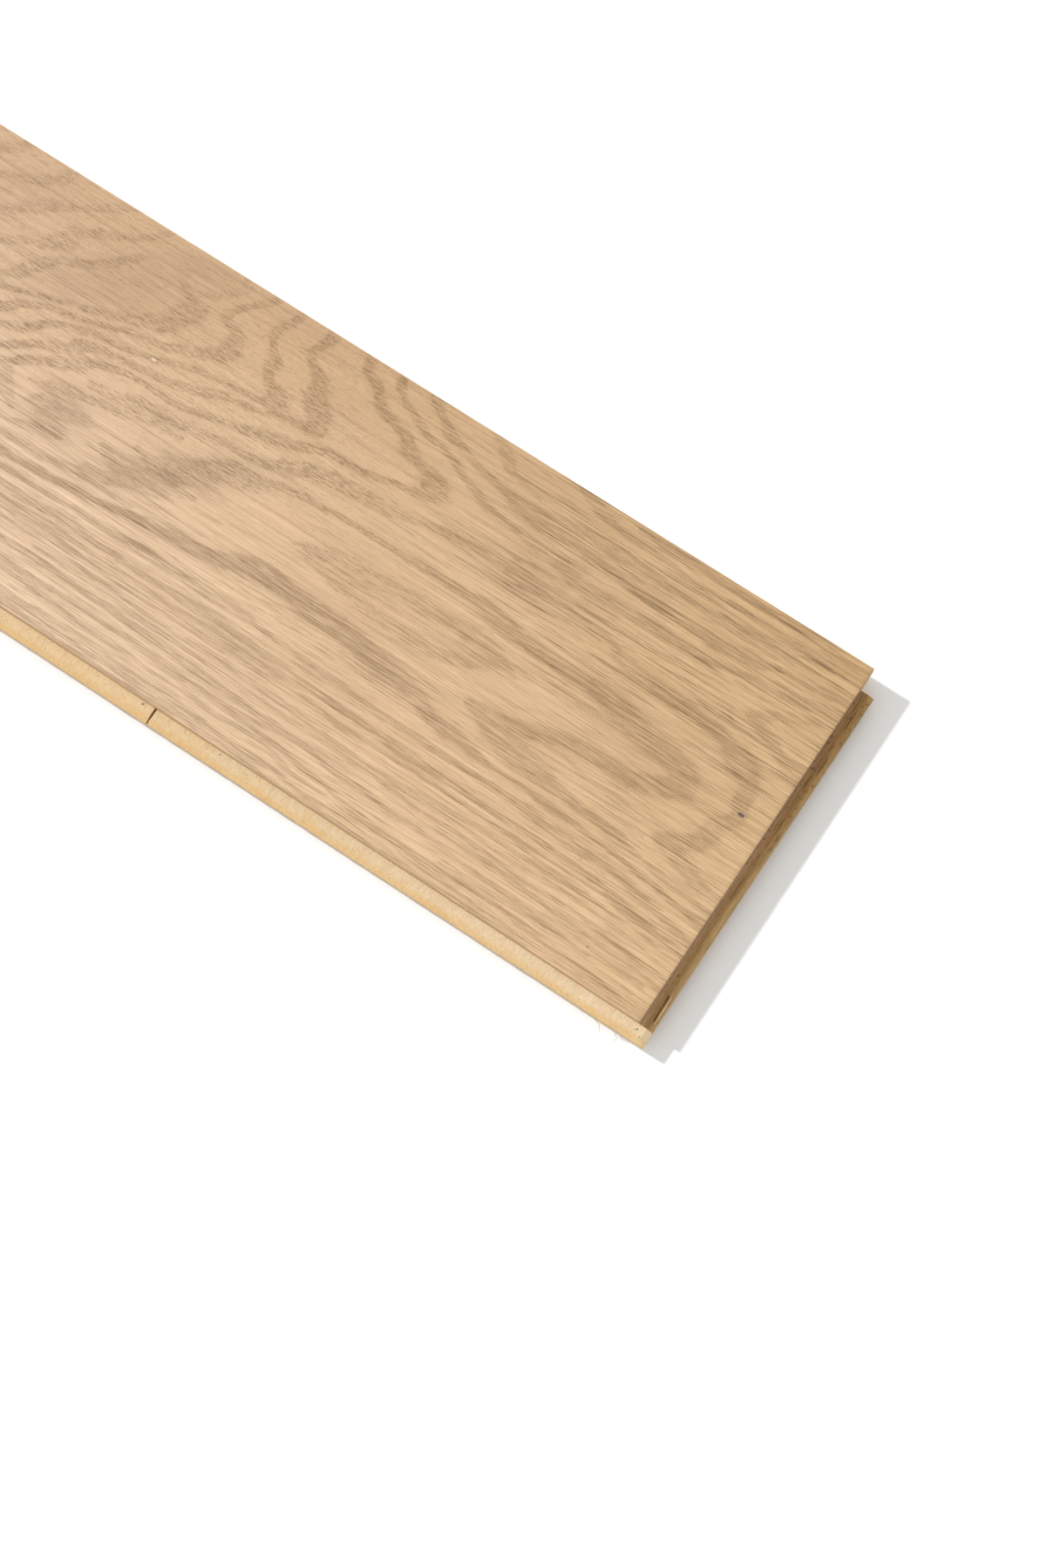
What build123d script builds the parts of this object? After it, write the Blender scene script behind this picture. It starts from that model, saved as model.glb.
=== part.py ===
from build123d import *
import os

# Engineered oak floorboard, three-ply, tongue and groove on all four sides.
# Millimetres. +X runs along the board to the end that carries the end tongue,
# +Y runs across it to the grooved long side, +Z is up, and the face is on top.
# The origin is the bottom centre of the board's whole box, tongues included.

# ---- face and thickness -------------------------------------------------
face_length = 1900.0      # sight length of the oak face
face_width = 190.0        # sight width of the oak face
wear_thick = 4.0          # sawn oak wear layer
core_thick = 9.0          # cross-laid softwood slats
backing_thick = 2.0       # softwood backing veneer
bevel = 0.4               # eased arris round the oak face

# ---- tongue and groove --------------------------------------------------
tongue_under_face = 5.8   # from the face down to the tongue's top
tongue_thick = 4.6
long_tongue = 7.8         # how far the long tongue stands out
end_tongue = 6.8          # how far the end tongue stands out
nose_run = 3.0            # lead-in slope on top of the tongue: run
nose_drop = 1.2           # and its drop
nose_under = 0.9          # small chamfer under the nose
groove_clear = 0.1        # the groove is this much higher than the tongue, above and below
long_groove = 10.0        # groove depth, long side
end_groove = 8.0          # groove depth, short end
lip_back = 1.0            # the groove's lower lip stops this much short of the upper one
shoulder_back = 0.5       # the shoulder under the tongue stands back by this much

# ---- slats of the core --------------------------------------------------
slat_gap = 0.12           # hairline gap between two slats
open_joint_gap = 0.9      # the one joint that stands open
open_joint_at = 255.0     # from the tongue end of the face
slat_pitch = 31.9         # mean width of a slat
first_joints = [31.8, 63.7, 95.4, 127.4, 159.3, 191.0, 223.1, open_joint_at, 286.8]
joint_reach = 2.0         # the gaps run this far in behind the shoulders and the groove

# ---- derived ------------------------------------------------------------
thick = wear_thick + core_thick + backing_thick
x0 = -(face_length + end_tongue) / 2.0            # grooved end of the face
x1 = x0 + face_length                             # tongued end of the face
y0 = -(face_width + long_tongue) / 2.0 + long_tongue   # tongued long side of the face
y1 = y0 + face_width                              # grooved long side of the face
z_core = backing_thick
z_wear = backing_thick + core_thick
t_top = thick - tongue_under_face
t_bot = t_top - tongue_thick
g_top = t_top + groove_clear
g_bot = t_bot - groove_clear


def block(xa, xb, ya, yb, za, zb):
    """A box between two corners."""
    b = Box(xb - xa, yb - ya, zb - za)
    return b.moved(Location(((xa + xb) / 2.0, (ya + yb) / 2.0, (za + zb) / 2.0)))


# ---- wear layer: one sawn oak lamella, its four top arrises eased -------
wear = block(x0, x1, y0, y1, z_wear, thick)
wear = chamfer(wear.edges().group_by(Axis.Z)[-1], bevel)

# ---- core: slats laid across the board, machined with tongue and groove -
core = block(x0, x1, y0, y1, z_core, z_wear)
# lower shoulder stands back along the two tongued sides
core -= block(x0 - 1, x1 + 1, y0 - 1, y0 + shoulder_back, z_core - 1, t_bot)
core -= block(x1 - shoulder_back, x1 + 1, y0 - 1, y1 + 1, z_core - 1, t_bot)
# lower lip stops short along the two grooved sides
core -= block(x0 - 1, x1 + 1, y1 - lip_back, y1 + 1, z_core - 1, t_bot)
core -= block(x0 - 1, x0 + lip_back, y0 - 1, y1 + 1, z_core - 1, t_bot)

# the tongue runs along the long side and round the corner onto the short end,
# and stops where the long groove leaves that end
tx1 = x1 + end_tongue
ty0 = y0 - long_tongue
tongue = block(x0, tx1, ty0, y0 + 5, t_bot, t_top) + block(x1 - 5, tx1, ty0, y1 - long_groove, t_bot, t_top)
tongue = tongue.clean()


def wedge_y(run, drop, z_edge, sign):
    """Prism that slopes the long tongue's nose; sign +1 cuts the top, -1 the underside."""
    pts = [(ty0 - 1.0, z_edge - sign * drop * (run + 1.0) / run), (ty0 + run, z_edge), (ty0 + run, z_edge + sign * 3.0), (ty0 - 1.0, z_edge + sign * 3.0)]
    face = make_face(Polyline(*[(0.0, y, z) for y, z in pts], close=True))
    return extrude(face.moved(Location((x0 - 5.0, 0, 0))), amount=face_length + end_tongue + 12.0, dir=(1, 0, 0))


def wedge_x(run, drop, z_edge, sign):
    """The same slope for the end tongue's nose."""
    pts = [(tx1 + 1.0, z_edge - sign * drop * (run + 1.0) / run), (tx1 - run, z_edge), (tx1 - run, z_edge + sign * 3.0), (tx1 + 1.0, z_edge + sign * 3.0)]
    face = make_face(Polyline(*[(x, 0.0, z) for x, z in pts], close=True))
    return extrude(face.moved(Location((0, ty0 - 5.0, 0))), amount=face_width + long_tongue + 12.0, dir=(0, 1, 0))


tongue -= wedge_y(nose_run, nose_drop, t_top, 1)
tongue -= wedge_x(nose_run, nose_drop, t_top, 1)
tongue -= wedge_y(nose_under, nose_under, t_bot, -1)
tongue -= wedge_x(nose_under, nose_under, t_bot, -1)
core = (core + tongue).clean()

# the two grooves; the end groove also takes the long tongue off over its depth
core -= block(x0 - 5, x1 + 5, y1 - long_groove, y1 + 5, g_bot, g_top)
core -= block(x0 - 5, x0 + end_groove, ty0 - 5, y1 + 5, g_bot, g_top)

# gaps between the slats, open on the tongue, the shoulders and the lips
joints = list(first_joints)
n = 0
while joints[-1] + slat_pitch < face_length - 20.0:
    n += 1
    joints.append(joints[-1] + slat_pitch + (0.9 if n % 3 == 0 else -0.6 if n % 3 == 1 else 0.2))
gaps = []
for d in joints:
    g = open_joint_gap if d == open_joint_at else slat_gap
    xc = x1 - d
    gaps.append(block(xc - g / 2, xc + g / 2, ty0 - 5, y0 + joint_reach, z_core - 1, z_wear + 1))
    gaps.append(block(xc - g / 2, xc + g / 2, y1 - long_groove - joint_reach, y1 + 5, z_core - 1, z_wear + 1))
core = core - gaps

# ---- backing: one veneer under the slats, its grain along the board -----
backing = block(x0 + lip_back, x1 - shoulder_back, y0 + shoulder_back, y1 - lip_back, 0.0, backing_thick)

os.makedirs("parts", exist_ok=True)
for name, shape in (("wear_layer", wear), ("core_slats", core), ("backing_veneer", backing)):
    solids = shape.solids()
    out = solids[0] if len(solids) == 1 else Compound(children=list(solids))
    export_step(out, "parts/" + name + ".step")
    b = out.bounding_box()
    print(name, len(solids), "solid", round(out.volume / 1000.0, 2), "cm3",
          [round(v, 2) for v in (b.min.X, b.min.Y, b.min.Z, b.max.X, b.max.Y, b.max.Z)])
print("slats", len(joints) + 1, "tongue z", round(t_bot, 2), round(t_top, 2), "groove z", round(g_bot, 2), round(g_top, 2))
print("face x", round(x0, 2), round(x1, 2), "y", round(y0, 2), round(y1, 2))
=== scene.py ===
import math

import bmesh
import bpy
import numpy as np
from mathutils import Matrix, Vector


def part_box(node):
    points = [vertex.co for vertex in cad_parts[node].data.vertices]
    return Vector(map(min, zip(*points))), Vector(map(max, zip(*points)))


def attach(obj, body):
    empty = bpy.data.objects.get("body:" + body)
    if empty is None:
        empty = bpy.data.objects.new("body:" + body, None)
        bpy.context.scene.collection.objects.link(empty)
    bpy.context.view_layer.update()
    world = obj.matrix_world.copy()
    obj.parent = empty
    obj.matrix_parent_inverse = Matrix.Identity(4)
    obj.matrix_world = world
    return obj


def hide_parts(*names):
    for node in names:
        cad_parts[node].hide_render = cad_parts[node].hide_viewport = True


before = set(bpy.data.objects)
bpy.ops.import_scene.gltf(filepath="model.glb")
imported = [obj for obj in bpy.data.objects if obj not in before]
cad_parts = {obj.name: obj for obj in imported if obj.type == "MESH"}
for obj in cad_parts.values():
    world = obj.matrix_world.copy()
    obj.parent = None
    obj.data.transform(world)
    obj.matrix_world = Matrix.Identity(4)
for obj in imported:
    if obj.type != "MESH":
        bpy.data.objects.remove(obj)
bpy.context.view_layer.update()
rng = np.random.RandomState(7)

# --------------------------------------------------------------------------
# The board's own sizes, in millimetres, as the frame has them
# --------------------------------------------------------------------------
lo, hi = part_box("wear_layer")
X0, Y0, ZW = [v * 1000 for v in lo]      # grooved end, tongued long side, underside of the oak
X1, Y1, ZT = [v * 1000 for v in hi]      # tongued end, grooved long side, face
YM = (Y0 + Y1) / 2
L, W = X1 - X0, Y1 - Y0
clo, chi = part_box("core_slats")
CX0, CY0, CZ0 = [v * 1000 for v in clo]
CX1, CY1, CZ1 = [v * 1000 for v in chi]
BEVEL = 0.4
# small brown marks on the tongue: (x from the face's end, y from the face's middle, radius along x, along y, strength, colour)
SPECKS = [
    (-261.2, -96.3, 0.42, 0.55, 0.90, (112, 80, 48)), (-260.6, -95.6, 0.5, 0.35, 0.45, (160, 124, 84)),
    (-219.3, -96.3, 0.30, 0.60, 0.70, (140, 104, 66)), (-204.5, -97.6, 0.95, 0.22, 0.40, (176, 138, 92)),
    (-234.0, -99.4, 0.30, 0.5, 0.35, (180, 140, 90)), (-151.5, -98.8, 0.28, 0.8, 0.30, (186, 148, 102)),
    (-96.0, -97.4, 0.26, 0.6, 0.30, (186, 150, 108)), (-44.0, -98.8, 0.26, 0.9, 0.30, (180, 144, 104)),
    (0.5, -97.3, 0.55, 0.38, 0.85, (110, 78, 44)), (-0.6, -98.0, 0.9, 0.24, 0.50, (150, 114, 74)), (-2.4, -98.6, 0.8, 0.24, 0.35, (168, 132, 90)),
    (3.0, -99.8, 0.38, 0.38, 0.75, (128, 94, 56)), (-20.0, -100.6, 1.9, 0.9, 0.42, (226, 172, 106)), (-24.5, -101.6, 1.6, 0.7, 0.30, (224, 172, 108)),
    (-33.0, -101.2, 0.5, 0.35, 0.45, (178, 134, 84)), (-8.0, -101.6, 1.5, 0.5, 0.30, (212, 168, 110)),
    (2.5, -67.9, 0.35, 0.7, 0.80, (72, 46, 22)), (5.6, -80.6, 0.4, 0.9, 0.55, (84, 58, 32)), (3.2, 55.0, 0.35, 1.6, 0.45, (84, 56, 28)),
    (4.3, 46.0, 0.45, 5.0, 0.55, (88, 60, 30)), (2.6, 36.0, 0.4, 3.6, 0.45, (92, 64, 34)), (3.6, 70.5, 0.40, 5.5, 0.60, (86, 58, 26)),
    (2.2, 77.0, 0.35, 4.0, 0.45, (96, 68, 36)), (3.4, 12.0, 0.5, 4.5, 0.40, (96, 66, 36)), (2.7, -22.0, 0.4, 6.0, 0.40, (98, 70, 40)),
]
# ground colour of the oak at the corners of its first half metre (sRGB)
NEAR_LEFT, NEAR_RIGHT = (227, 198, 169), (211, 176, 134)
FAR_LEFT, FAR_RIGHT = (198, 165, 132), (194, 159, 115)

sc = bpy.context.scene
sc.view_settings.view_transform = "Standard"
sc.view_settings.look = "None"

# --------------------------------------------------------------------------
# Figure of the oak face. Each band of pores is a curve drawn over the
# face: x from the tongued end (negative along the board), y from the middle.
# Every point is (x, y, half width); the first number is the band's strength.
# --------------------------------------------------------------------------
BANDS = [
    # diagonal legs, upper left
    (0.55, [(-640, 40, 2.2), (-560, 55, 2.2), (-505, 70, 2.2), (-470, 86, 2.0), (-466, 89, 1.6), (-459.7, 94, 1.4), (-457, 97, 1.2)]),
    (0.62, [(-640, 30, 2.0), (-570, 41, 2.0), (-510, 53, 2.0), (-475, 67, 1.8), (-462.6, 74.4, 1.5), (-452, 78.8, 1.6), (-446, 81.7, 2.0), (-441, 85.2, 1.5), (-437, 87.5, 1.4), (-434.4, 92.3, 1.5), (-432, 97, 1.5)]),
    (0.62, [(-640, 20, 2.0), (-570, 30, 2.0), (-510, 41, 2.0), (-470, 51, 2.0), (-452.6, 60.5, 1.9), (-443.2, 66.6, 2.0), (-434.4, 74.4, 2.1), (-423.8, 79.4, 1.3), (-415, 85.8, 1.2), (-409, 88.8, 1.7), (-402, 95, 1.5)]),
    (0.68, [(-640, 11, 2.0), (-565, 19, 2.0), (-500, 29, 2.0), (-460, 40, 1.8), (-443, 48.2, 1.6), (-432.6, 54.6, 1.4), (-426.8, 56.4, 1.4), (-421, 60.4, 2.6), (-417.5, 64, 3.0), (-416.8, 68.8, 2.2), (-410.9, 73, 1.7), (-404.4, 76.4, 1.6), (-397, 79.9, 1.2), (-385.6, 87.6, 1.0), (-378, 97, 1.1)]),
    (0.75, [(-640, 3, 2.0), (-560, 9, 2.0), (-495, 17, 2.0), (-455, 25.5, 1.7), (-434.4, 34.6, 1.3), (-427, 39, 1.8), (-424.4, 44, 2.2), (-420.3, 48.8, 2.0), (-415.6, 54, 1.6), (-409, 56.4, 1.6), (-403.2, 59.4, 1.7), (-397.4, 64, 1.6), (-392.6, 68.2, 1.6), (-388.5, 71.7, 1.5), (-383, 78, 1.0)]),
    (0.80, [(-640, -3, 2.0), (-560, 1, 2.0), (-490, 8, 2.0), (-450, 18.5, 1.5), (-429.7, 29.4, 1.1), (-417.4, 33.5, 1.0), (-402, 38.8, 1.2), (-392.6, 41, 1.2), (-382, 44.3, 1.7), (-375, 47.6, 1.7), (-366.8, 50, 2.2), (-361, 52.8, 3.0), (-356.2, 57.2, 3.2), (-352, 62, 3.2), (-348.5, 66.4, 2.8), (-346.4, 69.6, 2.0), (-350.3, 71.5, 1.3), (-353.8, 72.9, 1.5), (-357.5, 75.4, 1.2)]),
    (0.35, [(-350, 77, 1.0), (-344.4, 80.5, 1.4), (-339.7, 84, 1.2), (-335, 90, 1.3), (-335.6, 96, 1.5)]),
    (0.85, [(-640, -8, 2.0), (-560, -6, 2.0), (-490, 0, 2.0), (-445, 11, 1.7), (-423.2, 21.7, 1.7), (-417.4, 27, 1.3), (-411.5, 29.9, 1.2), (-404.4, 32.9, 1.0), (-398.5, 34.6, 1.1), (-391.5, 35.8, 1.0), (-375, 40.5, 1.0), (-369, 43.3, 1.1), (-356.2, 45.2, 1.2), (-350, 46, 1.5), (-344.4, 48.8, 1.6), (-338.5, 50, 1.7), (-333.8, 52.3, 1.9), (-329, 54.6, 2.8), (-325.6, 58, 3.0), (-324, 62, 2.8), (-324.4, 66.4, 2.3), (-326, 70.3, 1.8), (-331, 71.7, 1.2), (-335, 74.6, 1.4), (-333, 78.2, 1.1), (-329, 83.5, 0.9), (-323, 89.4, 1.1), (-318, 97, 1.2)]),
    (0.82, [(-640, -13, 2.0), (-560, -12, 2.0), (-490, -7, 2.0), (-445, 2, 1.7), (-419.7, 14.2, 1.2), (-413.8, 15.8, 1.4), (-409, 18.2, 1.6), (-405.6, 21.7, 1.4), (-399.7, 26.4, 1.3), (-392.6, 30.5, 1.1), (-382, 33.2, 1.5), (-375, 34, 1.2), (-366.8, 35.2, 1.2), (-357.4, 37, 1.0), (-350.3, 38.2, 1.3), (-343, 41.7, 1.4), (-336, 44, 1.3), (-329, 45.2, 1.3), (-319.7, 46.4, 0.9), (-310.3, 47.6, 1.0), (-300, 49, 1.4), (-295, 50.8, 2.0), (-291.5, 53.3, 2.6), (-294.7, 56, 2.6), (-298.8, 57.2, 1.8), (-301.5, 59.8, 1.4), (-304, 63.2, 1.7), (-303, 67.5, 2.0), (-305.5, 70.4, 1.5), (-308.2, 73.5, 1.1), (-311.2, 77.6, 1.0), (-311.2, 82.9, 1.3), (-307, 90, 1.1), (-305.9, 97, 1.3)]),
    (0.82, [(-640, -18, 1.8), (-560, -17, 1.8), (-480, -12, 1.8), (-440, -5, 1.6), (-413, 6, 1.3), (-405, 11, 1.4), (-399, 15.4, 1.7), (-392.6, 18.2, 2.0), (-387.5, 20.5, 1.6), (-384.4, 22.9, 1.7), (-380.9, 26.2, 2.3), (-376.2, 28.6, 1.7), (-369, 29.9, 1.3), (-361, 31, 1.1), (-350.3, 32, 1.4), (-343.2, 32.5, 1.5), (-336, 33.5, 1.4), (-329, 35.8, 1.8), (-322, 37.6, 1.9), (-315, 41, 1.9), (-308, 42.9, 1.3), (-300, 43.6, 1.3), (-294, 45.2, 1.4), (-287, 47.6, 1.3), (-280, 49.4, 1.2), (-273, 50.3, 1.8), (-268.6, 51, 2.0), (-270.5, 54.6, 2.6), (-273, 58.2, 3.1), (-276.5, 62, 3.4), (-279, 66, 2.8), (-281, 70, 2.2), (-283.5, 74, 2.0), (-288.8, 77.3, 1.3), (-292.4, 81, 1.4), (-290.6, 85, 1.3), (-288.8, 90, 1.5), (-288, 97, 1.5)]),
    (0.80, [(-640, -22, 1.8), (-560, -21, 1.8), (-480, -18, 1.8), (-435, -11, 1.7), (-408, 0.3, 1.3), (-403, 2.9, 1.4), (-398.5, 6.6, 1.6), (-393.8, 8.8, 1.6), (-389, 11, 1.5), (-384.4, 12.9, 1.7), (-379, 16.4, 2.2), (-376.6, 19.4, 2.3), (-372, 21.6, 1.5), (-365, 24.2, 1.4), (-357.4, 25.8, 1.3), (-350.3, 26.4, 1.0), (-333.8, 26, 1.1), (-325.6, 26.4, 1.2), (-318.5, 28.2, 1.4), (-310.3, 30.4, 1.3), (-303, 31.3, 1.5), (-296.5, 32.9, 1.6), (-290, 35.8, 2.0), (-281, 37.8, 2.1), (-273, 39.6, 1.9), (-267, 42.3, 1.7), (-258.8, 45.0, 1.9), (-249.4, 45.6, 1.4), (-235.3, 47, 1.4), (-228.2, 48.8, 1.3), (-220, 50.3, 1.2), (-213, 52, 2.2), (-208.5, 55, 3.6), (-210.2, 59.2, 3.9), (-214.5, 62.2, 2.6), (-221, 63.6, 2.2), (-226, 65, 2.6), (-229.8, 67.6, 2.4), (-234, 71, 1.9), (-242.4, 73, 1.8), (-247, 74.3, 1.9), (-250.6, 77, 1.8), (-254.5, 80.5, 1.5), (-257.6, 83.5, 1.5), (-262.4, 86, 1.7), (-265.9, 88.8, 1.6), (-268.5, 97, 1.4)]),
    # legs running off over the far side, top
    (0.70, [(-251, 97, 1.1), (-250, 92.5, 1.2), (-248, 88.2, 1.3), (-242.4, 84.6, 1.3), (-236.5, 82, 1.4), (-230.6, 79.2, 1.4), (-225.9, 76.6, 1.2), (-220, 75.7, 1.1), (-214, 74.6, 1.1), (-207, 72.3, 1.4), (-201, 69.6, 1.2), (-195.3, 68, 1.5), (-190.6, 65.8, 1.5), (-184.7, 63, 1.8), (-178.8, 61.7, 1.4), (-169.4, 61, 1.0), (-161, 59.6, 1.2), (-150, 58.6, 1.3), (-141, 57.6, 1.6), (-133, 56, 2.6), (-125, 56.3, 2.2), (-112, 57.2, 2.2), (-103, 56.6, 1.5), (-93, 57, 1.5), (-86, 57.2, 1.9), (-76, 56.8, 1.0), (-62, 57.2, 1.0), (-53, 59.6, 1.2), (-41.5, 61.2, 1.0), (-30, 61.2, 1.0), (-20, 63.4, 1.8), (-13, 66, 2.0), (-6, 67.6, 1.6), (2, 68.6, 1.3)]),
    (0.72, [(-234.5, 97, 1.2), (-232, 93.5, 1.6), (-228, 90, 1.4), (-222.4, 86.2, 1.3), (-216, 82.4, 2.2), (-211, 81, 1.9), (-205.9, 79, 1.5), (-198, 76.8, 1.2), (-190, 75.4, 1.3), (-180, 73.6, 1.7), (-172, 72.2, 2.6), (-162, 70.8, 3.0), (-150, 70.2, 2.4), (-140, 70.0, 1.7), (-122.6, 69, 1.6), (-112, 68.6, 1.5), (-104, 66.8, 1.6), (-94.4, 66.2, 1.6), (-82.6, 65.8, 1.4), (-71, 65.9, 1.5), (-62.6, 66.6, 1.7), (-54, 68.3, 2.3), (-46, 68.8, 2.4), (-40, 69.6, 1.4), (-31, 72.2, 1.0), (-20, 72.4, 0.9), (-10, 74, 1.6), (2, 74.6, 1.4)]),
    (0.62, [(-204, 97, 1.2), (-199, 94, 1.3), (-194, 91.5, 1.9), (-191, 88.4, 2.0), (-186, 84.6, 1.7), (-180, 82, 1.3), (-172, 80.8, 1.0), (-160, 79.2, 1.1), (-140, 77.8, 1.2), (-120, 77.4, 0.9), (-99, 77, 1.6), (-88, 76.6, 1.2), (-70, 75.4, 0.9), (-48, 74.6, 0.9), (-38, 74.8, 0.6)]),
    (0.62, [(-156, 97, 1.2), (-150, 93.4, 1.4), (-143, 91, 1.6), (-137, 89, 1.8), (-128, 87.2, 1.3), (-118, 86.6, 1.2), (-99, 85.6, 0.9), (-80, 85.4, 0.8), (-60, 85.4, 0.8), (-40, 85.0, 0.9), (-19, 84.6, 0.8), (2, 84, 0.8)]),
    (0.45, [(-120, 92.4, 1.0), (-90, 92.6, 1.6), (-64, 92, 1.4), (-40, 91.8, 1.0), (-15, 90.8, 1.0), (2, 91, 1.0)]),
    (0.55, [(-70, 79.6, 0.6), (-50, 79.4, 0.6), (-30, 79, 0.7), (-12, 78.6, 0.7), (2, 78.6, 0.6)]),
    (0.42, [(-59, 64.8, 0.6), (-40, 64.8, 0.6), (-22, 65.6, 0.6)]),
    (0.40, [(-47, 56.2, 0.6), (-30, 55.6, 0.6), (-18, 54.6, 0.5)]),
    (0.40, [(-158, 49, 1.6), (-146, 49.6, 1.8), (-134, 49.2, 1.2)]),
    (0.36, [(-95, 51, 0.6), (-70, 51.6, 0.6), (-48, 50.6, 0.6)]),
    (0.36, [(-98, 42.6, 0.5), (-80, 45, 0.5), (-60, 44.6, 0.5), (-42, 44, 0.5)]),
    # small hook at the tongued end
    (0.62, [(2, 33.6, 1.6), (-8.5, 36.4, 1.9), (-15.6, 38.8, 1.7), (-20.3, 41.7, 2.0), (-27, 44.2, 2.2), (-32, 46.6, 2.2), (-29, 49.6, 1.9), (-25, 52.0, 1.7), (-18.5, 55.4, 2.0), (-12, 58.4, 1.8), (-5, 60.8, 1.2), (2, 62.6, 1.0)]),
    # flame tips, left
    (0.62, [(-366, 13.2, 1.6), (-358, 13.4, 1.8), (-350, 13.6, 1.8), (-338, 13.0, 1.6), (-326, 13.6, 1.5), (-318, 14.2, 0.9)]),
    (0.70, [(-349, 17.8, 0.9), (-340, 17.6, 1.9), (-331, 17.4, 2.3), (-322, 18.8, 1.9), (-316, 20.4, 1.6), (-308, 21.9, 1.5), (-300, 22.9, 1.4), (-287, 23.6, 1.5), (-279, 25.2, 1.9), (-273, 27.2, 2.3), (-268, 29.6, 2.8), (-262.4, 32.3, 3.0), (-256.5, 34.0, 3.2), (-249.4, 35.6, 3.0), (-240, 36.2, 3.0), (-230.6, 37.2, 3.1), (-220, 38.3, 2.9), (-210.6, 40, 2.2), (-202.4, 41.8, 1.7), (-194, 43.3, 1.5), (-184.7, 43.7, 1.5), (-173, 44, 1.4), (-161, 43.6, 1.8), (-150, 43.2, 2.6), (-139, 43, 2.6), (-128, 42.6, 1.8), (-118, 42.2, 1.5), (-106, 41.2, 1.4), (-100, 39.0, 1.7), (-91, 36.6, 2.6), (-80.3, 35.7, 2.8), (-71, 35.2, 2.8), (-62.6, 34.9, 2.7), (-54.4, 34.8, 2.6), (-47.4, 33.4, 2.7), (-40.3, 32.4, 2.8), (-34.4, 30.2, 3.0), (-28.5, 27.8, 3.8), (-23.2, 24.6, 4.0), (-18.6, 20.6, 3.0), (-16.4, 15, 2.3), (-15.6, 10, 2.0), (-13.4, 4.5, 1.9), (-16, 0.4, 2.0), (-19.5, -3.6, 2.3), (-19.5, -8, 2.3), (-21, -13, 2.5), (-24.5, -17, 2.8), (-30, -20.2, 3.0), (-36, -22.6, 2.2), (-28, -25.0, 2.8), (-20.3, -27.4, 2.6), (-12, -30.6, 2.6), (-5, -31.8, 1.8), (2, -32.6, 1.5)]),
    (0.50, [(-357, 10, 1.0), (-350, 9.3, 1.0), (-343, 9.2, 0.7)]),
    (0.60, [(-383, 2.4, 1.4), (-376, 4.6, 2.3), (-369, 5.8, 2.0), (-361, 6.8, 1.4), (-350, 8, 0.9)]),
    (0.50, [(-391, 0.0, 0.8), (-380, 0.0, 1.0), (-370, -0.2, 1.3)]),
    (0.60, [(-382, -4.8, 1.3), (-374, -5.0, 2.5), (-366, -4.6, 2.2), (-357, -4.4, 1.0)]),
    (0.58, [(-387, -9.4, 1.3), (-380, -10.6, 1.6), (-372, -11.4, 2.0), (-364, -12, 1.2)]),
    (0.60, [(-386, -20.6, 0.8), (-378, -18.8, 1.3), (-372.5, -16.2, 2.2), (-367, -13.8, 1.9)]),
    (0.52, [(-403, -1.8, 1.6), (-401, -5.6, 2.2), (-397, -11.2, 2.0), (-391, -15.2, 1.2)]),
    (0.45, [(-420, -20, 1.0), (-393, -21.3, 0.9), (-381, -21.2, 0.7)]),
    # the second ring: its left flank, its upper run, the turn at the right and the way back
    (0.74, [(-345, -8.2, 1.2), (-338, -9.4, 2.0), (-332, -12.4, 3.6), (-327, -12.2, 4.6), (-322, -8.6, 4.8), (-317, -4.4, 5.0), (-311, -0.6, 4.8), (-305, 3.6, 4.2), (-299, 8.0, 4.0), (-293.5, 11.4, 4.2), (-288, 14.0, 4.4), (-281.5, 15.4, 3.6), (-275.5, 17.2, 2.2), (-269.4, 19.6, 1.5), (-258.8, 21.4, 1.5), (-249.4, 22.1, 1.4), (-240, 22.5, 1.4), (-230.6, 22.9, 1.2), (-210.6, 23.4, 1.4), (-200, 23.2, 1.7), (-190.6, 23.7, 1.9), (-178.8, 24, 2.2), (-167, 24.4, 2.4), (-155.6, 23.6, 2.6), (-146, 22.2, 2.6), (-138, 20.8, 2.5), (-129.7, 19, 2.6), (-120.3, 18, 2.5), (-112, 18.2, 2.8), (-103.8, 19.2, 3.2), (-94.4, 18.8, 3.5), (-85, 17.8, 4.0), (-76, 15.6, 4.6), (-68.5, 13.2, 4.6), (-59, 12.2, 4.4), (-52, 10.6, 4.2), (-45.5, 8.0, 4.0), (-41.6, 4.4, 3.8), (-43, 0.6, 3.8), (-48, -2.2, 3.6), (-54, -4.6, 3.4), (-62, -6.3, 3.2), (-71, -6.9, 3.3), (-80.3, -7.3, 3.1), (-89.7, -7.0, 2.8), (-99, -9.0, 2.8), (-108.5, -12.2, 3.2), (-115.6, -14.6, 3.2), (-124, -16.4, 2.8), (-131, -17.0, 2.4), (-139, -16.8, 1.6)]),
    (0.66, [(-140, -17.6, 1.4), (-131, -19.6, 2.6), (-121, -23, 3.8), (-110, -25.2, 4.4), (-100, -26.4, 4.2), (-91, -28.2, 3.0), (-82, -29.2, 2.2), (-73, -29.8, 1.9), (-64, -30.8, 1.7), (-55, -32.2, 2.1), (-49, -33, 1.5), (-40, -34, 0.9)]),
    (0.40, [(-92, -14, 0.7), (-78, -17.4, 1.0), (-64, -17.8, 1.4), (-56, -18.2, 0.9)]),
    (0.36, [(-80, -25.2, 0.6), (-60, -25.2, 0.6), (-44, -25.8, 0.5)]),
    (0.42, [(-87, -11.0, 0.6), (-74, -10.8, 0.9), (-62, -10.6, 0.6)]),
    # lower left flank of the second ring
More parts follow.
